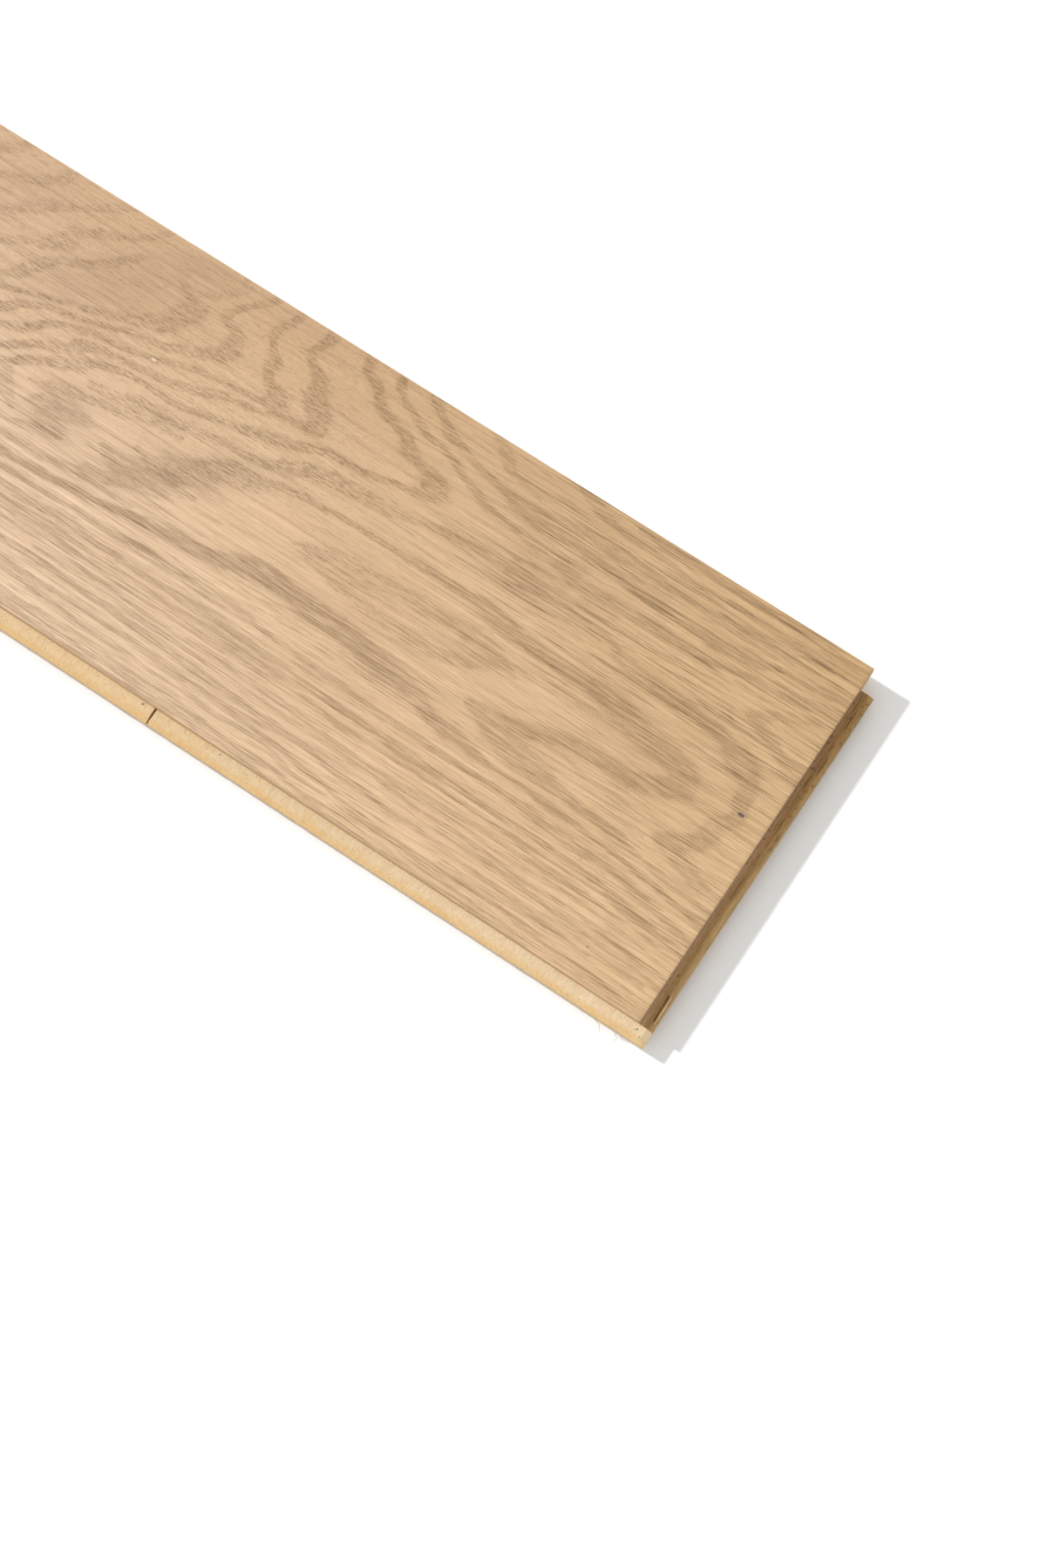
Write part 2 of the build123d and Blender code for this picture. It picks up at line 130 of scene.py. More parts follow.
    (0.66, [(-640, -31, 1.6), (-500, -30, 1.5), (-420, -29, 1.3), (-385.6, -28.3, 1.2), (-377.4, -27.7, 1.3), (-366.8, -27.5, 1.3), (-357.4, -26.4, 1.5), (-350.3, -25.6, 2.0), (-344, -24, 2.8), (-338, -21.6, 2.6), (-332, -19.6, 2.2), (-326, -17.6, 1.6), (-321, -14.6, 1.6)]),
    # third ring, lower run: a broad grey flame
    (0.80, [(-640, -38, 1.6), (-500, -37, 1.5), (-420, -36, 1.4), (-382, -35.2, 1.4), (-371.5, -34.8, 1.3), (-357.4, -34.3, 1.4), (-345.6, -32.4, 1.5), (-333.8, -31.6, 1.2), (-329, -30.6, 1.5), (-319.7, -29.4, 1.7), (-310.3, -28.0, 1.9), (-301, -26.6, 2.5), (-292, -26.0, 2.8), (-284.7, -25.6, 2.8), (-275, -24.8, 2.9), (-267, -22.6, 3.2), (-261, -20.6, 3.8), (-254, -19.2, 4.2), (-244.7, -18.6, 4.0), (-234, -18.8, 3.9), (-224, -19.4, 4.0), (-214, -19.6, 4.2), (-204, -20.0, 4.6), (-195, -21.6, 4.6), (-184, -23.6, 4.4), (-172, -25.4, 3.6), (-160, -28.2, 2.8), (-151, -31.4, 2.6), (-142, -33.2, 2.8), (-133, -34.2, 2.2), (-122, -36.0, 1.3), (-110, -36.6, 1.0), (-99.4, -36.2, 0.9), (-88, -37.2, 1.5), (-79, -37.6, 1.6), (-66, -38.0, 1.2), (-52, -38.8, 1.1), (-38.3, -40.6, 1.0), (-25.8, -41.6, 1.1), (-13.3, -44.0, 1.0), (2, -45.5, 1.0)]),
    (0.42, [(-200, -29.6, 0.9), (-186, -31.2, 1.4), (-172, -31.2, 1.0), (-160, -30.8, 0.7)]),
    (0.45, [(-36, -34.6, 0.8), (-31, -35.6, 1.3), (-24, -37.0, 1.0), (-13, -37.4, 0.8), (2, -38.2, 0.8)]),
    # the eye: its rim and its filling
    (0.62, [(-246, 1.2, 0.8), (-238, 2.6, 2.2), (-231, 4.2, 3.4), (-224, 5.0, 5.0), (-216, 5.0, 5.8), (-207, 6.6, 4.6), (-200, 8.6, 3.4), (-190, 10.2, 2.4), (-180, 10.8, 2.1), (-170, 11.0, 2.2), (-160, 9.6, 3.2), (-152, 7.4, 4.2), (-145, 5.6, 4.2), (-139, 5.0, 2.4), (-130, 3.6, 0.8)]),
    (0.60, [(-243, -1.0, 0.7), (-236, -1.6, 1.2), (-229, -2.4, 1.6), (-221, -4.2, 2.4), (-212, -5.8, 2.7), (-202, -6.4, 2.8), (-192, -6.9, 2.4), (-182, -7.2, 2.6), (-172, -7.4, 2.2), (-163, -6.0, 2.6), (-156, -3.4, 3.0), (-150, -0.6, 2.6), (-146, 2.0, 2.4)]),
    (0.22, [(-222, 1.0, 5.0), (-205, 1.6, 6.6), (-188, 1.8, 7.2), (-170, 1.6, 6.8), (-154, 2.2, 5.0)]),
    # nearly straight grain, near side
    (0.62, [(-640, -46, 1.4), (-500, -44, 1.4), (-420, -42.4, 1.2), (-380, -41, 1.2), (-367, -41, 1.0), (-356, -41, 1.1), (-339.4, -39.6, 1.0), (-325.6, -39.8, 1.0), (-311.7, -39.2, 1.1), (-297.8, -38.0, 1.3), (-286.7, -38.6, 1.2), (-270, -38.0, 1.2), (-250.6, -38.1, 1.3), (-236.7, -39.4, 1.2), (-228, -40.8, 1.3), (-214, -41.5, 1.2), (-203, -41.8, 1.3), (-191, -41.6, 1.2), (-181, -42.7, 1.2), (-158, -42.9, 1.3), (-142.5, -43.4, 1.2), (-127, -43.4, 1.0), (-110.6, -43.0, 1.3), (-94, -43.6, 1.2), (-80, -45.2, 1.6), (-66, -45.0, 1.8), (-53.6, -45.2, 1.6), (-41, -46.4, 1.6), (-31.4, -48.8, 1.6), (-21.7, -50.6, 1.4), (-10.6, -52.8, 1.2), (2, -55.0, 1.2)]),
    (0.34, [(-328, -41.2, 0.7), (-306, -41.6, 0.7), (-284, -40.6, 0.8), (-256, -40.9, 0.7)]),
    (0.66, [(-640, -52, 1.4), (-500, -50, 1.4), (-420, -48.6, 1.3), (-371, -47.6, 1.2), (-361.7, -48.3, 1.6), (-347.8, -47, 1.5), (-339.4, -46.2, 1.7), (-329.7, -47, 1.5), (-317, -47.8, 1.1), (-306, -47.8, 1.3), (-292, -48.3, 1.3), (-277, -47.9, 1.4), (-264.4, -47.6, 1.8), (-256, -47.3, 1.8), (-245, -47.9, 1.4), (-231, -48.8, 1.5), (-220, -49.4, 1.1), (-200.6, -50.4, 1.3), (-180, -51.3, 1.7), (-170, -51.8, 1.4), (-156, -52, 1.7), (-142.5, -51.7, 1.5), (-130, -51.7, 1.5), (-116, -52.2, 1.2), (-101, -52.6, 1.1), (-85.6, -52.4, 1.1), (-66, -53.3, 1.2), (-52, -53.8, 1.0), (-40, -54.6, 1.3), (-31.4, -56.8, 1.5), (-20, -58.7, 1.3), (-7.8, -59.7, 1.2), (2, -60.4, 1.2)]),
    (0.52, [(-640, -57, 1.1), (-500, -54.4, 1.1), (-400, -53, 1.0), (-352, -52.2, 0.9), (-339.4, -52.0, 1.2), (-328, -52.4, 0.9), (-299, -52.2, 0.8), (-278, -52.7, 0.7), (-256, -52.2, 0.8), (-235, -53, 0.9), (-215, -54, 0.7), (-190, -56.4, 0.9), (-177, -57.2, 0.9), (-149, -56.8, 0.9), (-121.7, -56.8, 0.8), (-100, -57.4, 0.6), (-60, -57.0, 0.7), (-40, -57.4, 0.8), (-22, -62, 0.8), (2, -64.5, 0.8)]),
    (0.46, [(-640, -62, 1.0), (-440, -58, 1.0), (-366, -56, 1.0), (-353, -55.4, 0.9), (-339.4, -55.0, 0.9), (-328, -55.8, 0.7), (-300, -55.6, 0.6), (-268, -55.2, 0.7), (-240, -56.4, 0.8), (-222, -57, 0.6)]),
    (0.42, [(-360, -58.4, 0.8), (-330, -57.8, 0.8), (-300, -58.0, 0.6), (-262, -57.8, 0.8), (-244, -58, 0.5)]),
    (0.46, [(-640, -67, 1.0), (-440, -62.6, 1.0), (-364, -60.6, 0.9), (-340, -60.8, 0.7), (-325, -60.9, 0.8), (-300, -61.6, 0.7), (-281, -62.8, 0.8), (-256, -62.7, 0.9), (-235, -62.4, 0.9), (-214, -63.7, 0.9), (-194, -63.9, 1.0), (-177, -65, 1.0), (-164.7, -65.5, 0.9), (-149.4, -64.8, 0.8), (-132, -63.4, 0.7), (-116, -62.6, 0.8), (-99.4, -61.8, 1.0), (-85.6, -62.3, 0.9), (-71.7, -61.8, 0.9), (-57.8, -61.5, 0.9), (-43, -61.8, 0.7), (-30, -62.6, 0.7)]),
    (0.42, [(-342, -64.4, 0.7), (-325.6, -64.7, 0.7), (-306, -64.2, 0.7), (-286.7, -65.6, 1.1), (-272.8, -66, 1.1), (-263, -66.2, 0.8), (-246, -66.4, 0.7), (-220, -67.2, 0.8), (-200, -67.6, 0.7), (-159, -67.4, 0.7), (-140, -66.2, 0.6), (-116, -65.6, 0.7), (-95, -66, 0.8), (-72, -65.8, 0.8), (-48, -65.6, 0.6), (-22, -67.8, 0.8), (2, -69.8, 0.7)]),
    (0.58, [(-640, -75, 1.3), (-440, -71, 1.2), (-359, -69.3, 1.2), (-347.8, -68.7, 1.3), (-336.7, -68.6, 1.5), (-325.6, -68.8, 1.0), (-309, -69.3, 1.1), (-292, -70.3, 1.3), (-272.8, -71.0, 1.3), (-256, -71.7, 1.2), (-242, -71.8, 1.1), (-228, -72.7, 1.1), (-211.7, -73.4, 1.1), (-191, -73.7, 1.2), (-178, -75.4, 1.0), (-166, -76.4, 1.3), (-154, -76.8, 1.2), (-142.5, -77.2, 0.9), (-127, -77.8, 0.9), (-112, -79, 0.8), (-90, -79.6, 0.7), (-72, -80.6, 1.0), (-50, -82.4, 0.9), (-35, -83.4, 0.7)]),
    (0.52, [(-150, -69.2, 0.9), (-143.9, -69.3, 1.0), (-130, -69.7, 0.9), (-116, -69.5, 0.8), (-95, -70, 0.9), (-75, -70.8, 0.8), (-48, -70.4, 0.7), (-20, -72.8, 0.9), (2, -74.6, 0.9)]),
    (0.48, [(-120, -72.6, 0.8), (-100, -73.2, 1.0), (-82, -73.8, 1.0), (-66, -74.2, 0.7), (-52, -75.4, 1.0), (-40, -76.2, 0.8), (-18, -77.6, 0.9), (2, -79.4, 0.8)]),
    (0.52, [(-640, -82, 1.2), (-440, -78, 1.1), (-349, -76.2, 1.0), (-331, -76.7, 0.9), (-311.7, -76.2, 0.9), (-292, -76.3, 1.0), (-272.8, -77.1, 0.8), (-261.7, -78, 1.1), (-242, -78, 1.1), (-228, -78.6, 0.9), (-217, -79.7, 1.0), (-200.6, -80.4, 0.8), (-186, -82.2, 0.9), (-172, -83.6, 0.8), (-158, -85.4, 1.1), (-145, -86.2, 1.0), (-125, -87, 0.9), (-105, -87.6, 0.8), (-85, -86.4, 0.9), (-66, -87.8, 1.0), (-40, -88.8, 0.9), (-20, -90.2, 0.8), (2, -91, 0.7)]),
    (0.50, [(-640, -87, 1.0), (-440, -82, 1.0), (-349, -80, 1.0), (-328, -80.7, 1.2), (-320, -81.8, 1.0), (-300.6, -82.5, 0.9), (-286.7, -82.2, 1.2), (-268, -82.6, 0.7), (-247.8, -82.9, 0.8), (-231, -83.9, 0.9), (-220, -82.8, 0.8), (-209, -83.9, 1.1), (-197.8, -84.7, 1.1), (-186, -86.8, 0.8), (-170, -87.2, 0.7)]),
    (0.50, [(-640, -91, 1.0), (-440, -89, 1.0), (-342, -88.3, 1.1), (-325.6, -88, 1.0), (-306, -87.7, 1.1), (-292, -87, 1.0), (-275.6, -88.7, 0.9), (-256, -88.2, 1.0), (-239.4, -89.3, 1.0), (-220, -90, 0.9), (-195, -90.2, 1.1), (-176, -92.3, 0.9), (-150, -89, 0.9), (-128, -89.4, 0.8), (-104, -90.8, 1.0), (-82, -92, 1.0), (-60, -92.2, 0.9), (-30, -92.6, 0.9), (2, -93.5, 0.8)]),
    (0.46, [(-640, -94, 0.9), (-339.4, -90.8, 0.8), (-323, -91, 0.8), (-297.8, -91.2, 0.7), (-275, -91.6, 0.7), (-245, -92.6, 1.1), (-230, -92, 0.6), (-205, -92.4, 1.0)]),
    (0.55, [(-640, -95.5, 1.0), (-339.4, -93.6, 1.1), (-322.8, -94.4, 1.0), (-290, -94.4, 0.8), (-250, -94.0, 0.8), (-225, -93.6, 0.9), (-190, -94.8, 0.9), (-150, -94.4, 0.8), (-110, -94.6, 0.8), (-60, -95, 0.7)]),
    # broken patches and tongues beside the second ring's left flank
    (0.46, [(-344, -8.4, 1.2), (-334, -8.6, 2.0), (-326, -9.4, 2.8), (-318, -9.8, 2.8), (-308, -8.6, 2.0), (-297, -6.6, 1.0)]),
    (0.42, [(-343, -12.0, 0.7), (-332, -12.6, 1.4), (-318, -13.6, 1.8), (-304, -13.2, 0.8)]),
    (0.52, [(-346, -20.2, 1.0), (-337, -20.0, 2.2), (-330, -17.4, 2.8), (-322, -15.4, 2.4), (-312, -15.6, 0.8)]),
    (0.40, [(-332, -0.4, 0.8), (-322, -0.8, 1.6), (-313, 0.6, 2.4), (-304, 0.2, 2.0), (-292, -0.8, 0.8)]),
    (0.36, [(-319, 5.0, 1.0), (-309, 4.8, 1.8), (-297, 2.8, 1.6), (-284, 1.2, 0.6)]),
    (0.46, [(-299, 10.8, 1.0), (-291, 10.0, 2.4), (-281, 12.0, 2.6), (-272, 15.4, 1.4)]),
    (0.40, [(-352, -24.6, 1.0), (-342, -24.6, 2.0), (-333, -25.0, 1.4), (-318, -25.2, 0.7)]),
    # between the flame tips
    (0.46, [(-380, -1.0, 1.0), (-372, -0.2, 2.2), (-364, -1.2, 2.2), (-355, -2.8, 1.0)]),
    (0.46, [(-386, -6.2, 0.8), (-375, -6.8, 2.2), (-366, -6.8, 1.4), (-356, -4.0, 0.7)]),
    (0.42, [(-391, -13.8, 1.2), (-382, -13.6, 1.5), (-372, -14.0, 1.8), (-362, -12.6, 0.8)]),
    (0.46, [(-381, -20.4, 1.1), (-372, -17.8, 2.2), (-364, -16.2, 0.9)]),
    (0.50, [(-366, 11.4, 0.5), (-350, 11.8, 0.6), (-334, 11.0, 0.5)]),
    (0.50, [(-363, 15.0, 0.5), (-348, 15.4, 0.6), (-334, 15.6, 0.5)]),
    (0.42, [(-358, 9.8, 0.7), (-346, 9.9, 0.8), (-337, 10.4, 0.5)]),
    (0.50, [(-346, 19.0, 0.8), (-335, 19.4, 1.8), (-323, 19.8, 1.6), (-312, 20.8, 1.4), (-303, 21.6, 1.0)]),
    (0.42, [(-394, 18.2, 1.8), (-385, 20.8, 2.6), (-377, 20.4, 1.8)]),
    (0.34, [(-388, 14.2, 1.4), (-380, 16.6, 1.6), (-375, 19.0, 1.0)]),
    (0.40, [(-366, 6.6, 0.7), (-354, 6.9, 0.8), (-344, 7.4, 0.5)]),
    (0.30, [(-309, -9.4, 0.7), (-295, -10.2, 0.7), (-280, -9.6, 0.5)]),
    (0.30, [(-352, -11.6, 0.5), (-346, -11.8, 0.5)]),
    (0.40, [(-88, -58.8, 0.9), (-76, -60.2, 0.7), (-50, -59.4, 0.7)]),
    (0.42, [(-60, -77.6, 0.7), (-46, -78.4, 0.9), (-30, -80.0, 0.8), (-8, -81.6, 0.9)]),
    (0.40, [(-110, -83.6, 0.9), (-94, -84.2, 0.8), (-76, -84.0, 0.7), (-54, -84.4, 0.8), (-34, -85.0, 0.9), (-10, -86.6, 0.7)]),
]

# broad soft shades of the face: (x, y, half length, half width, tilt in degrees, amount)
SHADES = [
    (-320, -5, 22, 11, 35, 0.32), (-303, 8, 17, 8, 35, 0.24), (-284, 13, 15, 7, 20, 0.26),
    (-335, -20, 18, 8, 20, 0.22), (-371, -3, 18, 11, 0, 0.24), (-372, -14, 15, 8, 15, 0.20),
    (-335, 18, 19, 5, 5, 0.24),
    (-378, 64, 34, 19, 32, 0.62), (-400, 50, 26, 9, 30, 0.30), (-300, 90, 28, 9, 0, 0.35), (-352, 88, 22, 9, 20, 0.35),
    (-262, 66, 20, 12, -25, 0.18), (-448, 72, 26, 14, 32, 0.28), (-125, 56, 30, 6, 0, 0.25), (-170, 92, 26, 5, 0, 0.25),
    (-218, 2, 20, 8, 0, 0.26), (-152, 2, 16, 7, 0, 0.26), (-190, 72, 24, 5, -5, 0.2), (-60, 4, 34, 9, 0, 0.22), (-110, -20, 26, 8, -8, 0.25),
    (-215, -20, 46, 6, 0, 0.2), (-300, 4, 30, 9, 35, 0.25), (-370, -4, 18, 12, 0, 0.22), (-150, 40, 40, 7, 0, 0.22),
    (-70, 34, 30, 4, 0, 0.2), (-30, 24, 14, 8, -35, 0.2), (-290, -26, 34, 4, 4, 0.15), (-320, -60, 60, 6, 0, 0.10),
    (-230, -67, 60, 7, 0, 0.10), (-100, -75, 70, 9, -2, 0.12), (-150, -54, 60, 4, 0, 0.12), (-25, -60, 40, 6, -8, 0.10),
]


def smooth_curve(points, step=2.5):
    """Catmull-Rom through the given points, sampled about every `step` mm."""
    p = np.array(points, float)
    p = np.vstack([2 * p[0] - p[1], p, 2 * p[-1] - p[-2]])
    out = []
    for i in range(1, len(p) - 2):
        n = max(1, min(14, int(math.ceil(np.hypot(*(p[i + 1, :2] - p[i, :2])) / step))))
        t = (np.arange(n) / n)[:, None]
        a, b, c, d = p[i - 1], p[i], p[i + 1], p[i + 2]
        out.append(0.5 * ((2 * b) + (c - a) * t + (2 * a - 5 * b + 4 * c - d) * t * t + (3 * b - a - 3 * c + d) * t ** 3))
    out.append(p[-2][None])
    q = np.vstack(out)
    q[:, 2] = np.maximum(q[:, 2], 0.4)
    return q


def waves(x, y, seed, scale, stretch=1.0, octaves=3):
    """Smooth repeatable noise from a sum of sines, about -1 to 1."""
    r = np.random.RandomState(seed)
    v, amp, tot = np.zeros_like(x, dtype=float), 1.0, 0.0
    f = 1.0 / scale
    for _ in range(octaves):
        s = np.zeros_like(v)
        for _k in range(5):
            a = r.uniform(0, 2 * math.pi)
            s += np.sin(2 * math.pi * f * (x * math.cos(a) / stretch + y * math.sin(a)) + r.uniform(0, 6.28))
        v += amp * s / 2.6
        tot += amp
        amp *= 0.5
        f *= 2.1
    return v / tot


def far_figure(x, y):
    """Figure of the length that runs on past the drawn part: rings cut by the face, worked out from a leaning, tapering log."""
    t = -(x + 560.0) / 1000.0
    yc = 235.0 - 330.0 * np.clip(t / 0.62, 0, 1) ** 1.3 * 0.74 + 26.0 * np.sin(5.1 * t + 0.3) * np.clip(t * 3, 0, 1)
    h = 60.0 + 44.0 * np.cos(4.7 * (t - 0.62)) * np.clip((t - 0.08) * 2.2, 0, 1) + 10.0 * np.sin(11 * t + 1)
    wx = waves(x, y, 11, 90.0, 3.2) * 5.0 + waves(x, y, 12, 28.0, 4.0) * 1.6
    f = np.sqrt((y + wx - yc) ** 2 + h ** 2)
    ring = f / 8.4 + 0.35 * np.sin(f / 31.0) + 0.2 * np.sin(f / 17.0 + 1.0)
    ph = ring - np.floor(ring)
    near_flat = np.clip(1.0 - np.abs(y + wx - yc) / (0.9 * h + 20.0), 0, 1)
    wide = 0.16 + 0.20 * near_flat
    d = np.minimum(ph, 1 - ph)
    b = np.exp(-(d / wide) ** 2 * 1.6)
    k = np.floor(ring + 0.5)
    vary = 0.62 + 0.22 * np.sin(k * 2.3) + 0.14 * np.sin(k * 5.1 + 1.0)
    return np.clip(b * vary * (0.75 + 0.25 * waves(x, y, 14, 60.0, 5.0)), 0, 1)


def drawn_figure(x, y):
    """Shape of the pore bands (1 in the middle, 0.5 at the half width) and how dark they are, from the drawn curves."""
    top = np.zeros_like(x)
    num, den = np.zeros_like(x), np.full_like(x, 1e-6)
    for strength, pts in BANDS:
        q = smooth_curve(pts)
        w_max = q[:, 2].max()
        reach = w_max * 2.6 + 2
        sel = np.where((x > q[:, 0].min() - reach) & (x < q[:, 0].max() + reach) & (y > q[:, 1].min() - reach) & (y < q[:, 1].max() + reach))[0]
        if not len(sel):
            continue
        xs, ys = x[sel], y[sel]
        wob = waves(xs, ys, 31, 14.0, 2.2) * 0.45
        best = np.full(len(sel), 1e9)
        order = np.argsort(xs)
        xo, yo = xs[order], ys[order] + wob[order]
        for i in range(len(q) - 1):
            ax, ay, aw = q[i]
            bx, by, bw = q[i + 1]
            i0 = np.searchsorted(xo, min(ax, bx) - reach)
            i1 = np.searchsorted(xo, max(ax, bx) + reach)
            if i1 <= i0:
                continue
            px, py = xo[i0:i1] - ax, yo[i0:i1] - ay
            dx, dy = bx - ax, by - ay
            t = np.clip((px * dx + py * dy) / (dx * dx + dy * dy + 1e-9), 0, 1)
            # a band frays more along the board than across it
            ex, ey = (px - t * dx) * 0.62, py - t * dy
            d = np.sqrt(ex * ex + ey * ey) / (aw + (bw - aw) * t)
            j = order[i0:i1]
            best[j] = np.minimum(best[j], d)
        prof = np.exp(-0.62 * best ** 2)
        top[sel] = np.maximum(top[sel], prof)
        num[sel] += prof ** 2 * strength
        den[sel] += prof ** 2
    return top, num / den


def figure(x, y):
    """Band shape and darkness over the whole face."""
    b, a = np.zeros_like(x), np.zeros_like(x)
    near = x > -650
    b[near], a[near] = drawn_figure(x[near], y[near])
    # the bands stand out at the left and fade towards the tongued end
    a *= 0.67 * (1.0 - 0.29 * np.clip((x + 330.0) / 200.0, 0, 1))
    a *= 1.0 - 0.42 * np.clip((y - 5.0) / 40.0, 0, 1) * np.clip((-230.0 - x) / 90.0, 0, 1)
    a *= 1.0 + 0.25 * np.clip((-30.0 - y) / 20.0, 0, 1) * np.clip((x + 230.0) / 110.0, 0, 1)
    far = x < -500
    mix = np.clip((-x - 520.0) / 90.0, 0, 1)
    mix = mix * mix * (3 - 2 * mix)
    bf = np.zeros_like(x)
    bf[far] = far_figure(x[far], y[far])
    return b * (1 - mix) + bf * mix, np.where(mix > 0, a * (1 - mix) + 0.50 * mix, a)


def shade(x, y):
    """Soft greyish clouds between the bands."""
    s = np.zeros_like(x)
    for cx, cy, a, b, tilt, amt in SHADES:
        c, d = math.cos(math.radians(tilt)), math.sin(math.radians(tilt))
        u, v = (x - cx) * c + (y - cy) * d, -(x - cx) * d + (y - cy) * c
        s += amt * np.exp(-((u / a) ** 2 + (v / b) ** 2))
    far = np.clip((-x - 470.0) / 60.0, 0, 1)
    return s + far * 0.22 * (0.5 + 0.5 * waves(x, y, 21, 120.0, 2.2))


# --------------------------------------------------------------------------
# Node helpers
# --------------------------------------------------------------------------
class Nodes:
    def __init__(self, name):
        self.mat = bpy.data.materials.new(name)
        self.mat.use_nodes = True
        self.t = self.mat.node_tree
        self.t.nodes.clear()
        self.out = self.t.nodes.new("ShaderNodeOutputMaterial")
        self.bsdf = self.t.nodes.new("ShaderNodeBsdfPrincipled")
        self.t.links.new(self.bsdf.outputs[0], self.out.inputs[0])
        tc = self.t.nodes.new("ShaderNodeTexCoord")
        self.p = self.vmath("SCALE", tc.outputs["Object"], scale=1000.0)  # millimetres

    def link(self, a, b):
        if hasattr(a, "is_output"):
            self.t.links.new(a, b)
        else:
            b.default_value = a

    def vmath(self, op, a, b=None, scale=None):
        n = self.t.nodes.new("ShaderNodeVectorMath")
        n.operation = op
        self.link(a, n.inputs[0])
        if b is not None:
            self.link(b, n.inputs[1])
        if scale is not None:
            n.inputs["Scale"].default_value = scale
        return n.outputs[0]

    def math(self, op, a, b=None, c=None, clamp=False):
        n = self.t.nodes.new("ShaderNodeMath")
        n.operation = op
        n.use_clamp = clamp
        self.link(a, n.inputs[0])
        if b is not None:
            self.link(b, n.inputs[1])
        if c is not None:
            self.link(c, n.inputs[2])
        return n.outputs[0]

    def step(self, v, a, b, lo=0.0, hi=1.0):
        n = self.t.nodes.new("ShaderNodeMapRange")
        n.interpolation_type = "SMOOTHSTEP"
        self.link(v, n.inputs["Value"])
        for k, s in (("From Min", a), ("From Max", b), ("To Min", lo), ("To Max", hi)):
            n.inputs[k].default_value = s
        return n.outputs[0]

    def line(self, v, a, b, lo=0.0, hi=1.0):
        n = self.t.nodes.new("ShaderNodeMapRange")
        self.link(v, n.inputs["Value"])
        for k, s in (("From Min", a), ("From Max", b), ("To Min", lo), ("To Max", hi)):
            n.inputs[k].default_value = s
        return n.outputs[0]

    def line2(self, f, a, b):
        """Number a where f is 0, number b where it is 1."""
        return self.math("MULTIPLY_ADD", self.math("SUBTRACT", b, a), f, a)

    def noise(self, scale3, detail=3.0, rough=0.55, offset=(0, 0, 0), vec=None, distort=0.0):
        v = self.vmath("MULTIPLY", vec if vec is not None else self.p, scale3)
        v = self.vmath("ADD", v, offset)
        n = self.t.nodes.new("ShaderNodeTexNoise")
        n.inputs["Scale"].default_value = 1.0
        n.inputs["Detail"].default_value = detail
        n.inputs["Roughness"].default_value = rough
        n.inputs["Distortion"].default_value = distort
        self.link(v, n.inputs["Vector"])
        return n.outputs["Fac"]

    def voronoi(self, scale3, offset=(0, 0, 0), randomness=1.0, vec=None, out="Distance"):
        v = self.vmath("MULTIPLY", vec if vec is not None else self.p, scale3)
        v = self.vmath("ADD", v, offset)
        n = self.t.nodes.new("ShaderNodeTexVoronoi")
        n.inputs["Scale"].default_value = 1.0
        n.inputs["Randomness"].default_value = randomness
        self.link(v, n.inputs["Vector"])
        return n.outputs[out]

    def attr(self, name, out="Fac"):
        n = self.t.nodes.new("ShaderNodeAttribute")
        n.attribute_name = name
        return n.outputs[out]

    def mix(self, f, a, b, mode="MIX"):
        n = self.t.nodes.new("ShaderNodeMix")
        n.data_type = "RGBA"
        n.blend_type = mode
        n.clamp_factor = True
        self.link(f, n.inputs["Factor"])
        self.link(a, n.inputs["A"])
        self.link(b, n.inputs["B"])
        return n.outputs["Result"]

    def tint(self, colour, f, by):
        """colour, times `by` where f is 1."""
        return self.mix(f, colour, self.vmath("MULTIPLY", colour, by))

    def gain(self, colour, v):
        """colour times a grey number."""
        return self.vmath("MULTIPLY", colour, self.grey(v))

    def brown_gain(self, col, v):
        """Multiply by v; blue falls and rises more than red, as stained wood does."""
        rise = self.math("SUBTRACT", v, 1.0)
        c = self.t.nodes.new("ShaderNodeCombineXYZ")
        for k, f in enumerate((1.0, 1.17, 1.48)):
            self.link(self.math("MULTIPLY_ADD", rise, f, 1.0), c.inputs[k])
        n = self.t.nodes.new("ShaderNodeVectorMath")
        n.operation = "MULTIPLY"
        self.link(col, n.inputs[0])
        self.link(c.outputs[0], n.inputs[1])
        return n.outputs[0]

    def grey(self, v):
        n = self.t.nodes.new("ShaderNodeCombineXYZ")
        for i in range(3):
            self.link(v, n.inputs[i])
        return n.outputs[0]

    def xyz(self, vec=None):
        n = self.t.nodes.new("ShaderNodeSeparateXYZ")
        self.link(vec if vec is not None else self.p, n.inputs[0])
        return n.outputs

    def bump(self, height, mm=1.0, strength=1.0):
        n = self.t.nodes.new("ShaderNodeBump")
        n.inputs["Strength"].default_value = strength
        n.inputs["Distance"].default_value = mm / 1000.0
        self.link(height, n.inputs["Height"])
        self.t.links.new(n.outputs[0], self.bsdf.inputs["Normal"])


def rgb(r, g, b):
    """sRGB 0..255 to a linear RGBA tuple."""
    def f(v):
        v /= 255.0
        return v / 12.92 if v <= 0.04045 else ((v + 0.055) / 1.055) ** 2.4
    return (f(r), f(g), f(b), 1.0)


